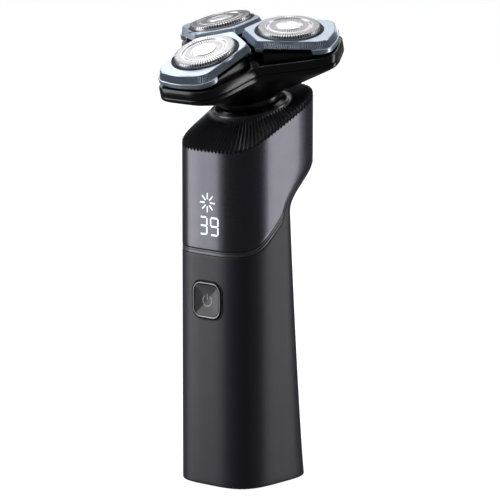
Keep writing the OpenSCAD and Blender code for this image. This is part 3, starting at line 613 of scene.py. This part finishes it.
def make_casing():
    a = even_angles(HANDLE_COLS)
    top = seam_z(a) - trim_half(a) - SEAM
    rings = []
    for t in np.linspace(0, 1, 7):
        # quarter round of the bottom edge
        z = CASING_FOOT + (EDGE_ROUND - CASING_FOOT) * (1 - math.cos(t * math.pi / 2))
        rings.append(handle_point(a, z, EDGE_ROUND * (1 - math.sqrt(1 - (1 - z / EDGE_ROUND) ** 2))))
    for f in np.linspace(0, 1, 70)[1:]:
        rings.append(handle_point(a, EDGE_ROUND + f * (top - 0.3 - EDGE_ROUND), 0))
    for drop, inset in ((0.12, 0.04), (0.03, 0.12), (0, 0.25)):
        rings.append(handle_point(a, top - drop, inset))
    for f in (1, 0.95, 0.9, 0.85, 0.8, 0.7, 0.6, 0.5, 0.3, 0):
        rings.append(handle_point(a, CASING_FOOT + f * (top - CASING_FOOT), WALL))
    casing = loft("grip_shell", rings)
    hole = square_outline(14.2, 4.3)
    tool = [np.stack([hole[:, 0], np.full(len(hole), y), BUTTON_Z + hole[:, 1]], -1) for y in (-16, -24)]
    cutter = loft("tool", tool, caps=True)
    fix_normals(cutter)
    cut(casing, cutter)
    finish_piece(casing, GRIP, "handle", ["grip_casing"])


def make_trim():
    """Strip with a groove along its middle that fades out at the front."""
    a = even_angles(HANDLE_COLS * 2)
    middle, half, groove = seam_z(a), trim_half(a), 0.5 * climb(a)
    # place across the strip, inset, and share of the groove's depth
    profile = [(-1, 0.3, 0), (-0.96, 0.14, 0), (-0.88, 0.05, 0), (-0.3, 0.03, 0), (-0.22, 0.05, 0.2),
               (-0.16, 0.05, 1), (0.16, 0.05, 1), (0.22, 0.05, 0.2), (0.3, 0.03, 0), (0.88, 0.05, 0),
               (0.96, 0.14, 0), (1, 0.3, 0)]
    rings = [handle_point(a, middle + across * half, 0) + inward(a, middle, inset + depth * groove)
             for across, inset, depth in profile]
    rings += [handle_point(a, middle + half, WALL), handle_point(a, middle - half, WALL)]
    finish_piece(loft("trim_band", rings), TRIM, "handle", ["trim_strip"])


def inward(a, z, depth):
    """Step from the handle's surface towards its inside, along the level normal."""
    at = handle_point(a, z, 0)
    along = np.roll(at, -1, 0) - np.roll(at, 1, 0)
    normal = np.stack([along[:, 1], -along[:, 0], 0 * a], -1)
    normal /= np.linalg.norm(normal, axis=1)[:, None]
    return -normal * np.reshape(depth, (-1, 1) if np.ndim(depth) else (1, 1))


def rib_wave(cols):
    """0 on a rib's crest and 1 at the bottom of a groove."""
    phase = (np.arange(cols) % RIB_STEPS) / RIB_STEPS
    return np.abs(np.sin(np.pi * phase)) ** 1.5


def scallop(a):
    """The zigzag edge between the panel and the collar, which drops at each groove."""
    return -SCALLOP_DEPTH * rib_wave(len(a))


def make_cover():
    a = even_angles(COLLAR_COLS)
    low = seam_z(a) + trim_half(a) + SEAM
    flat_top = collar_z(a) - 1.3
    edge = collar_z(a) + scallop(a) - 0.06
    rings = [handle_point(a, low, 0) + inward(a, low, 0.25), handle_point(a, low + 0.03, 0) + inward(a, low, 0.1),
             handle_point(a, low + 0.15, 0) + inward(a, low, 0.02)]
    rings += [handle_point(a, low + 0.3 + f * (flat_top - low - 0.3), 0) for f in np.linspace(0, 1, 22)]
    rings += [handle_point(a, flat_top + f * (edge - flat_top), 0) for f in (0.35, 0.7, 0.93)]
    rings += [handle_point(a, edge, 0) + inward(a, edge, 0.12), handle_point(a, edge, WALL)]
    rings += [handle_point(a, low + f * (flat_top - low), WALL) for f in (1, 0.75, 0.5, 0.25, 0)]
    finish_piece(loft("panel_shell", rings), PANEL, "handle", ["display_cover"], sharp=40)


def make_collar():
    """Shoulder with ribs that run from its scalloped edge up to the neck ring."""
    a = even_angles(COLLAR_COLS)
    wave = rib_wave(COLLAR_COLS)
    edge = collar_z(a) + scallop(a)
    foot = handle_point(a, edge, 0)
    behind = smooth((top_y(a) + FRONT_Y) / (TOP_BACK + FRONT_Y))[:, None]
    crown = handle_point(a, collar_z(a), 0) + [0, 0, COLLAR_WALL] * (0.2 + 0.8 * behind)
    centre = in_head((0, 0, NECK_RING_S - 0.6))
    turn = np.arctan2((crown[:, 1] - centre[1]) / math.cos(HEAD_LEAN), crown[:, 0])
    ring = neck_ring(turn, NECK_R + 1.5, NECK_RING_S - 0.5)
    # a crisp shoulder at the front that grows round towards the back, then a straight slope
    bend = crown + (ring - crown) * (0.05 + 0.25 * behind)
    wall = foot + (crown - foot) * (0.5 - 0.4 * behind)
    rows = [foot]
    for t in np.linspace(0, 1, 12):
        rows.append(wall * (1 - t) ** 2 + crown * 2 * t * (1 - t) + bend * t * t)
    for f in np.linspace(0, 1, 14)[1:]:
        rows.append(bend + (ring - bend) * f)
    rows = np.array(rows)
    along = np.roll(rows, -1, 1) - np.roll(rows, 1, 1)
    up = np.gradient(rows, axis=0)
    normal = np.cross(along, up)
    normal /= np.linalg.norm(normal, axis=2)[:, :, None]
    share = np.linspace(0, 1, len(rows))
    fade = np.clip((1 - share) / 0.06, 0, 1)
    width = np.linalg.norm(rows - rows[-1:], axis=2) / 10
    depth = RIB_DEPTH * (fade[:, None] * wave[None, :]) * np.clip(0.55 + 0.4 * width, 0, 1)
    rows = rows - normal * depth[:, :, None]
    rings = [handle_point(a, edge, 0) + inward(a, edge, 0.12 + 0.62 * wave)] + list(rows)
    # the neck ring's two beads: growth past the neck's radius, and height
    steps = [(1.4, -0.8), (1.15, -0.8), (1.06, -0.3), (0.95, -0.12), (0.78, -0.14), (0.7, -0.5), (0.5, -0.5),
             (0.43, 0.0), (0.33, 0.06), (0.16, -0.02), (0.03, -0.3), (0, -0.6)]
    rings += [neck_ring(turn, NECK_R + grow, NECK_RING_S + s) for grow, s in steps]
    rings.append(neck_ring(turn, NECK_R, NECK_LOW - 0.3))
    rings.append(handle_point(a, collar_z(a), COLLAR_INSET) + [0, 0, COLLAR_WALL * 0.4])
    rings.append(handle_point(a, edge + 0.1, COLLAR_INSET))
    finish_piece(loft("collar_shell", rings), COLLAR, "handle", ["ribbed_collar"], sharp=50)


def neck_ring(turn, r, s):
    return in_head(np.stack([r * np.cos(turn), r * np.sin(turn), np.full(len(turn), float(s))], -1))


# ---- Power button ----

def front_ring(outline, y):
    return np.stack([outline[:, 0], np.full(len(outline), float(y)), BUTTON_Z + outline[:, 1]], -1)


def pad_dip(x, z):
    """How far the pad is hollowed: four soft slopes that meet in an X."""
    reach = np.maximum(np.abs(x), np.abs(z)) / (PAD_SIZE / 2)
    return PAD_DEPTH * (1 - np.clip(reach, 0, 1) ** 1.3)


def make_button():
    outline = square_outline(PAD_SIZE, 2.7, BUTTON_COLS)
    body = [front_ring(square_outline(12.8, 3.6, BUTTON_COLS), y) for y in (BUTTON_BACK, BUTTON_STEP)]
    body += [front_ring(outline, y) for y in (BUTTON_STEP, BUTTON_FACE + 0.12)]
    for f in (0.985, 0.95, 0.88, 0.8, 0.7, 0.6, 0.5, 0.4, 0.3, 0.2, 0.1):
        ring = front_ring(outline * f, BUTTON_FACE)
        ring[:, 1] += pad_dip(ring[:, 0], ring[:, 2] - BUTTON_Z)
        body.append(ring)
    button = loft("button_pad", body, caps=True)
    fix_normals(button)
    finish_piece(button, PAD, "button", ["power_button"], sharp=25)

    outer, inner = square_outline(12.7, 3.55, BUTTON_COLS), square_outline(11.1, 2.75, BUTTON_COLS)
    between = lambda f: inner + (outer - inner) * f
    rows = [(1, BUTTON_STEP - 0.01), (1, -20.25), (0.93, -20.38), (0.78, -20.45), (0.5, -20.45), (0.2, -20.4),
            (0.05, -20.28), (0, -20.1), (0, BUTTON_STEP - 0.01)]
    bezel = loft("button_bezel", [front_ring(between(f), y) for f, y in rows])
    fix_normals(bezel)
    finish_piece(bezel, SILVER, "button", ["button_ring"], sharp=50)

    outer, inner = square_outline(14.1, 4.25, BUTTON_COLS), square_outline(13.1, 3.75, BUTTON_COLS)
    rows = [(1, -18), (1, -19.95), (0.85, -20.08), (0.6, -20.1), (0.35, -20.0), (0.1, -19.8), (0, -19.5),
            (0, -18)]
    seal = loft("button_gasket", [front_ring(between(f), y) for f, y in rows])
    fix_normals(seal)
    finish_piece(seal, RUBBER, "handle", ["button_seal"], sharp=50)


def strip(name, path, half, surface_y):
    """A flat strip along a path in X and Z, lying on a surface that faces the front."""
    path = np.asarray(path, float)
    along = np.gradient(path, axis=0)
    along /= np.linalg.norm(along, axis=1)[:, None]
    side = np.stack([-along[:, 1], along[:, 0]], -1) * half
    rings = []
    for across, proud in ((1, -0.05), (1, SIGN_LIFT * 0.7), (0.75, SIGN_LIFT), (-0.75, SIGN_LIFT),
                          (-1, SIGN_LIFT * 0.7), (-1, -0.05)):
        at = path + side * across
        rings.append(np.stack([at[:, 0], surface_y(at[:, 0], at[:, 1]) - proud, at[:, 1]], -1))
    made = loft(name, np.array(rings).transpose(1, 0, 2), caps=True)
    fix_normals(made)
    return made


def make_icon():
    """Power sign: a ring that is open at the top and a short upright line."""
    on_pad = lambda x, z: BUTTON_FACE + pad_dip(x, z - BUTTON_Z)
    turn = np.radians(np.linspace(125, 415, 60))
    ring = np.stack([1.95 * np.cos(turn), BUTTON_Z - 0.15 + 1.95 * np.sin(turn)], -1)
    line = np.stack([np.zeros(12), np.linspace(BUTTON_Z + 0.1, BUTTON_Z + 2.3, 12)], -1)
    icon = join("power_icon", [strip("ring", ring, 0.17, on_pad), strip("line", line, 0.17, on_pad)])
    finish_piece(icon, ICON, "button")


# ---- Light of the display ----

DIGIT_SEGMENTS = {3: "abgcd", 9: "abfgcd"}


def make_display():
    """Two digits of a charge gauge and a burst of rays above them, as thin light strips on the cover."""
    parts = []
    h = DIGIT_HEIGHT / 2
    for digit, centre, width in ((3, -1.55, 3.0), (9, 3.35, 3.3)):
        w = width / 2
        ends = {"a": ((-w, h), (w, h)), "b": ((w, h), (w, 0)), "c": ((w, 0), (w, -h)), "d": ((-w, -h), (w, -h)),
                "f": ((-w, h), (-w, 0)), "g": ((-w, 0), (w, 0))}
        for key in DIGIT_SEGMENTS[digit]:
            start, end = np.array(ends[key][0]), np.array(ends[key][1])
            gap = (end - start) / np.linalg.norm(end - start) * DIGIT_GAP
            path = np.linspace(start + gap, end - gap, 8) + [centre, DIGIT_Z]
            parts.append(strip(key, path, DIGIT_HALF, front_surface))
    for k in range(BURST_RAYS):
        turn = 2 * math.pi * k / BURST_RAYS
        ray = np.array([math.cos(turn), math.sin(turn)])
        path = np.linspace(ray * BURST_INNER, ray * BURST_OUTER, 8) + [BURST_X, BURST_Z]
        parts.append(strip("ray", path, BURST_HALF, front_surface))
    finish_piece(join("display_signs", parts), GLOW, "handle")


# ---- Head ----

def bowl_profile():
    """Heights up the bowl's outside, and the share of the lobes at each, with its corners smoothed."""
    s = np.linspace(BOWL_CONE, BOWL_RIM - 0.2, 60)
    fine = np.linspace(0, 20, 2001)
    window = np.hanning(141)
    values = np.pad(np.interp(fine, BOWL_HEIGHTS, BOWL_SHARES), 70, mode="edge")
    return s, np.interp(s, fine, np.convolve(values, window / window.sum(), mode="valid"))


def ball_edge(r, s):
    return math.sqrt(r * r - (s - GIMBAL_S) ** 2)


def make_bowl():
    rings = [lobe_ring(0, s, ball_edge(BOWL_BALL, s), 0) for s in np.linspace(BOWL_LOW, BOWL_CONE - 0.2, 9)]
    rings += [lobe_ring(0, s, BOWL_BALL, share) for s, share in zip(*bowl_profile())]
    rings += [lobe_ring(0.05, BOWL_RIM - 0.1), lobe_ring(0.2, BOWL_RIM)]
    rings += [lobe_ring(BOWL_WALL, BOWL_RIM), lobe_ring(BOWL_WALL, 12.2)]
    rings += [lobe_ring(BOWL_WALL, s, BOWL_BALL_IN, share)
              for s, share in ((9.2, 0.67), (7.6, 0.5), (5.3, 0.25), (3, 0))]
    rings += [lobe_ring(BOWL_WALL, s, ball_edge(BOWL_BALL_IN, s), 0) for s in (2, 1, 0, BOWL_LOW)]
    bowl = loft("bowl_shell", [in_head(r) for r in rings])
    finish_piece(bowl, GLOSS, "head_base", ["head_bowl"], sharp=60)


def make_frame():
    """Upper band of the head: rim, deck with three openings, hair chamber walls and hinge ears."""
    rows = [(FRAME_WALL, DECK_LOW), (FRAME_WALL, RIM_LOW), (0.2, RIM_LOW), (0.06, RIM_LOW + 0.06),
            (0, RIM_LOW + 0.2), (0, RIM_HIGH - 0.6), (0.08, RIM_HIGH - 0.3), (0.25, RIM_HIGH - 0.1), (0.5, RIM_HIGH)]
    body = loft("deck", [in_head(lobe_ring(inset, s)) for inset, s in rows], caps=True)
    fix_normals(body)
    turn = np.linspace(0, 2 * np.pi, ROUND_COLS, endpoint=False)
    hole = ((FRAME_HOLE, DECK_LOW - 2), (FRAME_HOLE, RIM_HIGH - 0.25), (FRAME_HOLE + 0.5, RIM_HIGH + 0.25))
    for i in range(3):
        rings = [np.stack([SPINDLE_R + r * np.cos(turn), r * np.sin(turn), np.full(ROUND_COLS, s)], -1)
                 for r, s in hole]
        tool = loft("tool", in_arm(i)(np.array(rings)), caps=True)
        fix_normals(tool)
        cut(body, tool)
    parts = [body]
    boss = [(2.05, DECK_LOW + 0.1), (4, DECK_LOW + 0.1), (4, 16.85), (3.75, 17.1), (2.4, 17.1), (2.05, 16.9)]
    parts.append(lathe("boss", boss, 64, in_head))
    for i in range(3):
        parts.append(make_chamber(i))
        for y in (-1, 1):
            y0, y1 = sorted((y * 4.3, y * 5.8))
            low, high = (HINGE_R - 1.2, y0, RIM_HIGH - 0.4), (HINGE_R + 1.05, y1, HINGE_S + 1.1)
            parts.append(box_mesh("ear", low, high, in_arm(i), 0.25))
    finish_piece(join("head_rim", parts), GLOSS, "shaving_head", ["head_frame"], sharp=38)


def make_chamber(i):
    """Wall under one blade ring, open at its outer end, with its foot level on the deck."""
    unit = in_unit(i)
    outer, inner = plate_outline(-1.6, CHAMBER_COLS), plate_outline(-2.7, CHAMBER_COLS)
    shut = ~((outer[:, 0] > 10.8) & (np.abs(outer[:, 1]) < 8.4))
    first = next(k for k in range(CHAMBER_COLS) if shut[k] and not shut[k - 1])
    order = [(first + k) % CHAMBER_COLS for k in range(int(shut.sum()))]
    foot = lambda x: -8.62 + math.tan(UNIT_TILT) * x
    rings = []
    for plan, top in ((inner, False), (inner, True), (outer, True), (outer, False)):
        at = plan[order]
        z = np.full(len(at), -4.8) if top else foot(at[:, 0])
        rings.append(np.stack([at[:, 0], at[:, 1], z], -1))
    wall = loft("chamber", unit(np.array(rings).transpose(1, 0, 2)), caps=True)
    fix_normals(wall)
    return wall


# ---- Shaving units ----

def make_blade_ring(i):
    """Five-sided plate: smooth top, ribbed wall that flares downwards, skirts, hinge lugs and pins."""
    unit = in_unit(i)
    flat = plate_outline(-1.25)
    edge = plate_outline(0)
    normal = outline_normals(edge)
    turn = np.arctan2(flat[:, 1], flat[:, 0])
    circle = lambda r: np.stack([r * np.cos(turn), r * np.sin(turn)], -1)
    level = lambda at, z: np.column_stack([at, np.full(len(at), z)])
    knurl = 0.5 - 0.5 * np.cos(2 * np.pi * np.arange(RING_COLS) / KNURL_STEPS)
    ribbed = lambda grow: plate_outline(grow) - normal * (KNURL_DEPTH * knurl)[:, None]
    rings = [level(circle(RING_HOLE), RING_TOP), level(circle(RING_HOLE), -1.0), level(circle(12.0), -0.9),
             level(circle(12.05), -0.4), level(circle(12.12), -0.12), level(circle(RING_BEVEL), -0.02)]
    start = circle(RING_BEVEL)
    for f in (0.2, 0.4, 0.6, 0.8, 0.93):
        rings.append(level(start + (flat - start) * f, -0.02))
    rings += [level(flat, -0.02), level(plate_outline(-1.12), -0.06), level(plate_outline(-1.02), -0.16),
              level(plate_outline(-0.94), -0.34), level(ribbed(-0.9), -0.42), level(ribbed(-0.55), -1.3),
              level(ribbed(-0.2), -2.2), level(ribbed(-0.05), RING_WALL_LOW + 0.12),
              level(edge - normal * 0.4, RING_WALL_LOW), level(plate_outline(-1.5), RING_WALL_LOW),
              level(plate_outline(-2.1), RING_TOP)]
    parts = [loft("plate", unit(np.array(rings)))]
    rim = plate_outline(0, SKIRT_COLS)
    end = rim[:, 0] > 9.5
    first = next(k for k in range(SKIRT_COLS) if end[k] and not end[k - 1])
    parts.append(make_skirt(unit, first, int(end.sum()), RING_SKIRT_LOW, 0.3))
    shoulder_x = -(PLATE_IN - PLATE_HALF / math.tan(math.radians(60)))
    for y in (-1, 1):
        near = int(np.argmin(np.hypot(rim[:, 0] - shoulder_x - 0.4, rim[:, 1] - y * (PLATE_HALF - 0.8))))
        parts.append(make_skirt(unit, near - 9, 19, RING_SKIRT_LOW + 0.5, 0.05))
    for y in (-1, 1):
        y0, y1 = sorted((y * 6.05, y * 8))
        low, high = (HINGE_X - 1.1, y0, HINGE_Z - 0.75), (HINGE_X + 1.1, y1, RING_TOP + 0.1)
        parts.append(box_mesh("lug", low, high, unit, 0.25))
        parts.append(rod_mesh("pin", HINGE_PIN, (HINGE_X, y * 6.5, HINGE_Z), (HINGE_X, y * 4.4, HINGE_Z), unit))
    ring = join(f"blade_plate_{SIDES[i]}", parts)
    finish_piece(ring, BLUE[i], f"ring_{SIDES[i]}", [f"blade_ring_{SIDES[i]}"], sharp=30)


def make_shade_liner(i):
    """Black ring inside a blade ring's opening: painted shade that stands in for the shadow in the gap round the
    comb.
    """
    profile = [(11.1, -0.98), (11.1, -0.45), (11.2, -0.35), (11.9, -0.35), (11.98, -0.45), (11.98, -0.98)]
    liner = lathe(f"ring_shade_liner_{SIDES[i]}", profile, 144, in_unit(i))
    fix_normals(liner)
    finish_piece(liner, PAINTED_SHADE, f"ring_{SIDES[i]}")


def make_skirt(unit, first, count, low, proud):
    """Smooth strip that hangs under the ribbed wall along part of the ring, with rounded lower corners."""
    order = [(first + k) % SKIRT_COLS for k in range(count)]
    run = np.minimum(np.arange(count), count - 1 - np.arange(count))
    top = RING_WALL_LOW + 0.05
    drop = np.sqrt(np.clip(1 - (1 - np.clip(run / 6, 0, 1)) ** 2, 0.05, 1))
    lower = top + (low - top) * drop
    # growth past the ring's edge, and share of the way down
    rows = [(-0.9, 0), (0.0, 0), (proud * 0.7, 0.04), (proud, 0.12), (proud, 0.88), (proud * 0.6, 0.96), (-0.9, 1)]
    rings = []
    for grow, share in rows:
        at = plate_outline(grow, SKIRT_COLS)[order]
        rings.append(np.column_stack([at, top + (lower - top) * share]))
    skirt = loft("skirt", unit(np.array(rings).transpose(1, 0, 2)), caps=True)
    fix_normals(skirt)
    return skirt


COMB_PROFILE = [
    # radius, height, and the slots that cross the band after this row: 0 none, 1 inner track, 2 outer track
    (4.42, 1.05, 0), (4.42, 1.34, 0), (4.55, 1.42, 0), (4.75, 1.42, 1), (5.4, 1.42, 1), (6.0, 1.42, 1),
    (6.9, 1.42, 0), (7.15, 1.42, 0), (7.3, 1.36, 0), (7.42, 0.98, 0), (7.88, 0.98, 0), (8.0, 1.4, 0),
    (8.12, 1.5, 0), (8.35, 1.5, 2), (9.0, 1.5, 2), (9.6, 1.5, 2), (10.2, 1.5, 2), (10.5, 1.45, 2),
    (10.75, 1.28, 2), (10.88, 1.05, 2), (10.9, 0.3, 0), (10.9, 0.0, 0), (10.9, -1.3, 0), (10.95, -1.4, 0),
    (11.35, -1.4, 0), (11.4, -1.45, 0)]
COMB_SKIN = 0.32
OUTER_PITCH, OUTER_OPEN = 8, 4
INNER_PITCH, INNER_OPEN = 12, 6


def make_comb(i):
    """Slotted steel comb: a thin pressed sheet with two tracks of open slots and a flange; its underside and slot
    walls are painted shade.
    """
    turn = np.linspace(0, 2 * np.pi, COMB_COLS, endpoint=False)
    verts = [[r * math.cos(t), r * math.sin(t), z] for r, z, _ in COMB_PROFILE for t in turn]
    faces = []
    for row, (_, _, track) in enumerate(COMB_PROFILE[:-1]):
        for j in range(COMB_COLS):
            in_outer = track == 2 and j % OUTER_PITCH < OUTER_OPEN
            in_inner = track == 1 and j % INNER_PITCH < INNER_OPEN
            if in_outer or in_inner:
                continue
            j2 = (j + 1) % COMB_COLS
            a, b = row * COMB_COLS + j, row * COMB_COLS + j2
            faces.append((a, a + COMB_COLS, b + COMB_COLS, b))
    comb = make_object(f"comb_shell_{SIDES[i]}", in_unit(i)(np.array(verts)), faces)
    solid = comb.modifiers.new("skin", "SOLIDIFY")
    solid.thickness = COMB_SKIN * MM
    solid.offset = -1
    # Painted shade: the sheet's underside and its slot walls take the near-black material instead of steel, so the
    # slots read dark.
    solid.material_offset = 1
    solid.material_offset_rim = 1
    comb.data.materials.append(COMB[i])
    comb.data.materials.append(PAINTED_SHADE)
    apply_modifiers(comb)
    mesh = bmesh.new()
    mesh.from_mesh(comb.data)
    bmesh.ops.delete(mesh, geom=[v for v in mesh.verts if not v.link_faces], context="VERTS")
    mesh.to_mesh(comb.data)
    mesh.free()
    replaced = [f"outer_comb_{SIDES[i]}"]
    finish_piece(comb, COMB[i], f"comb_{SIDES[i]}", replaced, sharp=35, inside=PAINTED_SHADE)


def make_disc(i):
    """Bright cap in the middle of a comb, with a shallow ring pressed into it."""
    base = 1.07
    profile = [(0.01, base), (4.3, base), (4.38, base + 0.1), (4.38, base + 0.42), (4.25, base + 0.58),
               (4.0, base + 0.66), (3.2, base + 0.68), (3.1, base + 0.62), (2.8, base + 0.62), (2.7, base + 0.7),
               (1.5, base + 0.75), (0.01, base + 0.76)]
    disc = lathe(f"comb_cap_{SIDES[i]}", profile, 120, in_unit(i))
    fix_normals(disc)
    finish_piece(disc, DISC[i], f"comb_{SIDES[i]}", [f"comb_disc_{SIDES[i]}"], sharp=30)


# ---- CAD nodes that keep their shape ----

CAD_MATERIALS = {
    "base_cap": BLACK, "base_gasket": RUBBER, "base_screws": STEEL, "charging_socket": SILVER, "inner_frame": GREY,
    "frame_screws": STEEL, "circuit_board": BOARD, "display_module": LIGHT_BOX, "tactile_switch": BLACK,
    "battery_cell": WRAP, "battery_tabs": STEEL, "motor_can": STEEL, "motor_mount": GREY, "motor_seal": RED_SEAL,
    "neck_base": BLACK, "motor_shaft": STEEL, "motor_armature": COPPER, "drive_ball": GEAR, "gimbal_ring": GEAR,
    "gear_deck": GREY, "gear_cover": BLACK, "head_gasket": RUBBER, "head_screws": STEEL, "sun_gear": GEAR,
}
for side in SIDES:
    CAD_MATERIALS |= {f"planet_gear_{side}": GEAR, f"spindle_spring_{side}": STEEL, f"inner_cutter_{side}": CUTTER,
                      f"cutter_hub_{side}": BLACK}


def paint_cad_nodes():
    for name, material in CAD_MATERIALS.items():
        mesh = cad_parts[name].data
        mesh.materials.clear()
        mesh.materials.append(material)


# ---- Stage, lights and camera ----

def direction(azimuth, elevation):
    """Unit vector towards a viewer at an azimuth and an elevation in degrees; azimuth 0 looks along +Y."""
    a, e = math.radians(azimuth), math.radians(elevation)
    return Vector((math.sin(a) * math.cos(e), -math.cos(a) * math.cos(e), math.sin(e)))


LIGHT_AIM = Vector((0, 0, 0.085))


def softbox(name, azimuth, elevation, distance, width, height, power):
    """A rectangular light that faces the middle of the object; sizes in metres, power in watts."""
    data = bpy.data.lights.new(name, "AREA")
    data.shape = "RECTANGLE"
    data.size, data.size_y = width, height
    data.energy = power
    light = bpy.data.objects.new(name, data)
    towards = direction(azimuth, elevation)
    light.location = LIGHT_AIM + towards * distance
    light.rotation_euler = towards.to_track_quat("Z", "Y").to_euler()
    bpy.context.scene.collection.objects.link(light)


def make_stage():
    """A pale round floor that does not light the object."""
    profile = ((2500.0, -3.0), (2500.0, -0.02), (0.5, -0.02), (0.5, -3.0))
    floor = lathe("floor", profile, ROUND_COLS, lambda p: p)
    fix_normals(floor)
    material, tree, shader = new_material("pale_floor")
    cloud = noise(tree, object_coords(tree), 0.01, 2.0)
    tree.links.new(two_tone(tree, cloud, (0.30, 0.30, 0.30), (0.33, 0.33, 0.33)), shader.inputs["Base Color"])
    shader.inputs["Roughness"].default_value = 0.8
    shader.inputs["Specular IOR Level"].default_value = 0.1
    shader.inputs["Emission Color"].default_value = (1, 1, 1, 1)
    shader.inputs["Emission Strength"].default_value = 0.94
    floor.data.materials.append(material)
    floor.visible_diffuse = False
    floor.visible_glossy = False


def make_lights():
    softbox("key_front_left", -50, 12, 0.75, 0.40, 0.9, 5.0)
    softbox("side_right", 138, 10, 0.75, 0.20, 0.9, 2.7)
    softbox("top_back", -150, 52, 0.8, 0.7, 0.6, 2.0)
    softbox("top_left", -110, 40, 0.8, 0.4, 0.4, 0.8)
    softbox("top_front", -60, 78, 0.8, 0.6, 0.5, 3.0)
    world = bpy.data.worlds.new("studio")
    bpy.context.scene.world = world
    world.use_nodes = True
    back = world.node_tree.nodes["Background"]
    back.inputs["Color"].default_value = (0.93, 0.95, 1, 1)
    back.inputs["Strength"].default_value = 0.12


def make_camera():
    azimuth, elevation, distance, view_angle = 40.64, 10.29, 1.433, 7.033
    aim_right, aim_up, aim_z = 0.00196, 0.00158, 0.080
    data = bpy.data.cameras.new("camera")
    data.sensor_width = 36
    data.lens = 18 / math.tan(math.radians(view_angle) / 2)
    data.clip_end = 20
    camera = bpy.data.objects.new("camera", data)
    back = direction(azimuth, elevation)
    rotation = back.to_track_quat("Z", "Y")
    aim = Vector((0, 0, aim_z)) + rotation @ Vector((aim_right, aim_up, 0))
    camera.location = aim + back * distance
    camera.rotation_euler = rotation.to_euler()
    bpy.context.scene.collection.objects.link(camera)
    bpy.context.scene.camera = camera


make_camera()
make_casing()
make_trim()
make_cover()
make_collar()
make_button()
make_icon()
make_display()
make_bowl()
make_frame()
for unit_index in range(3):
    make_blade_ring(unit_index)
    make_shade_liner(unit_index)
    make_comb(unit_index)
    make_disc(unit_index)
paint_cad_nodes()
make_stage()
make_lights()
bpy.context.scene.view_settings.view_transform = "Standard"
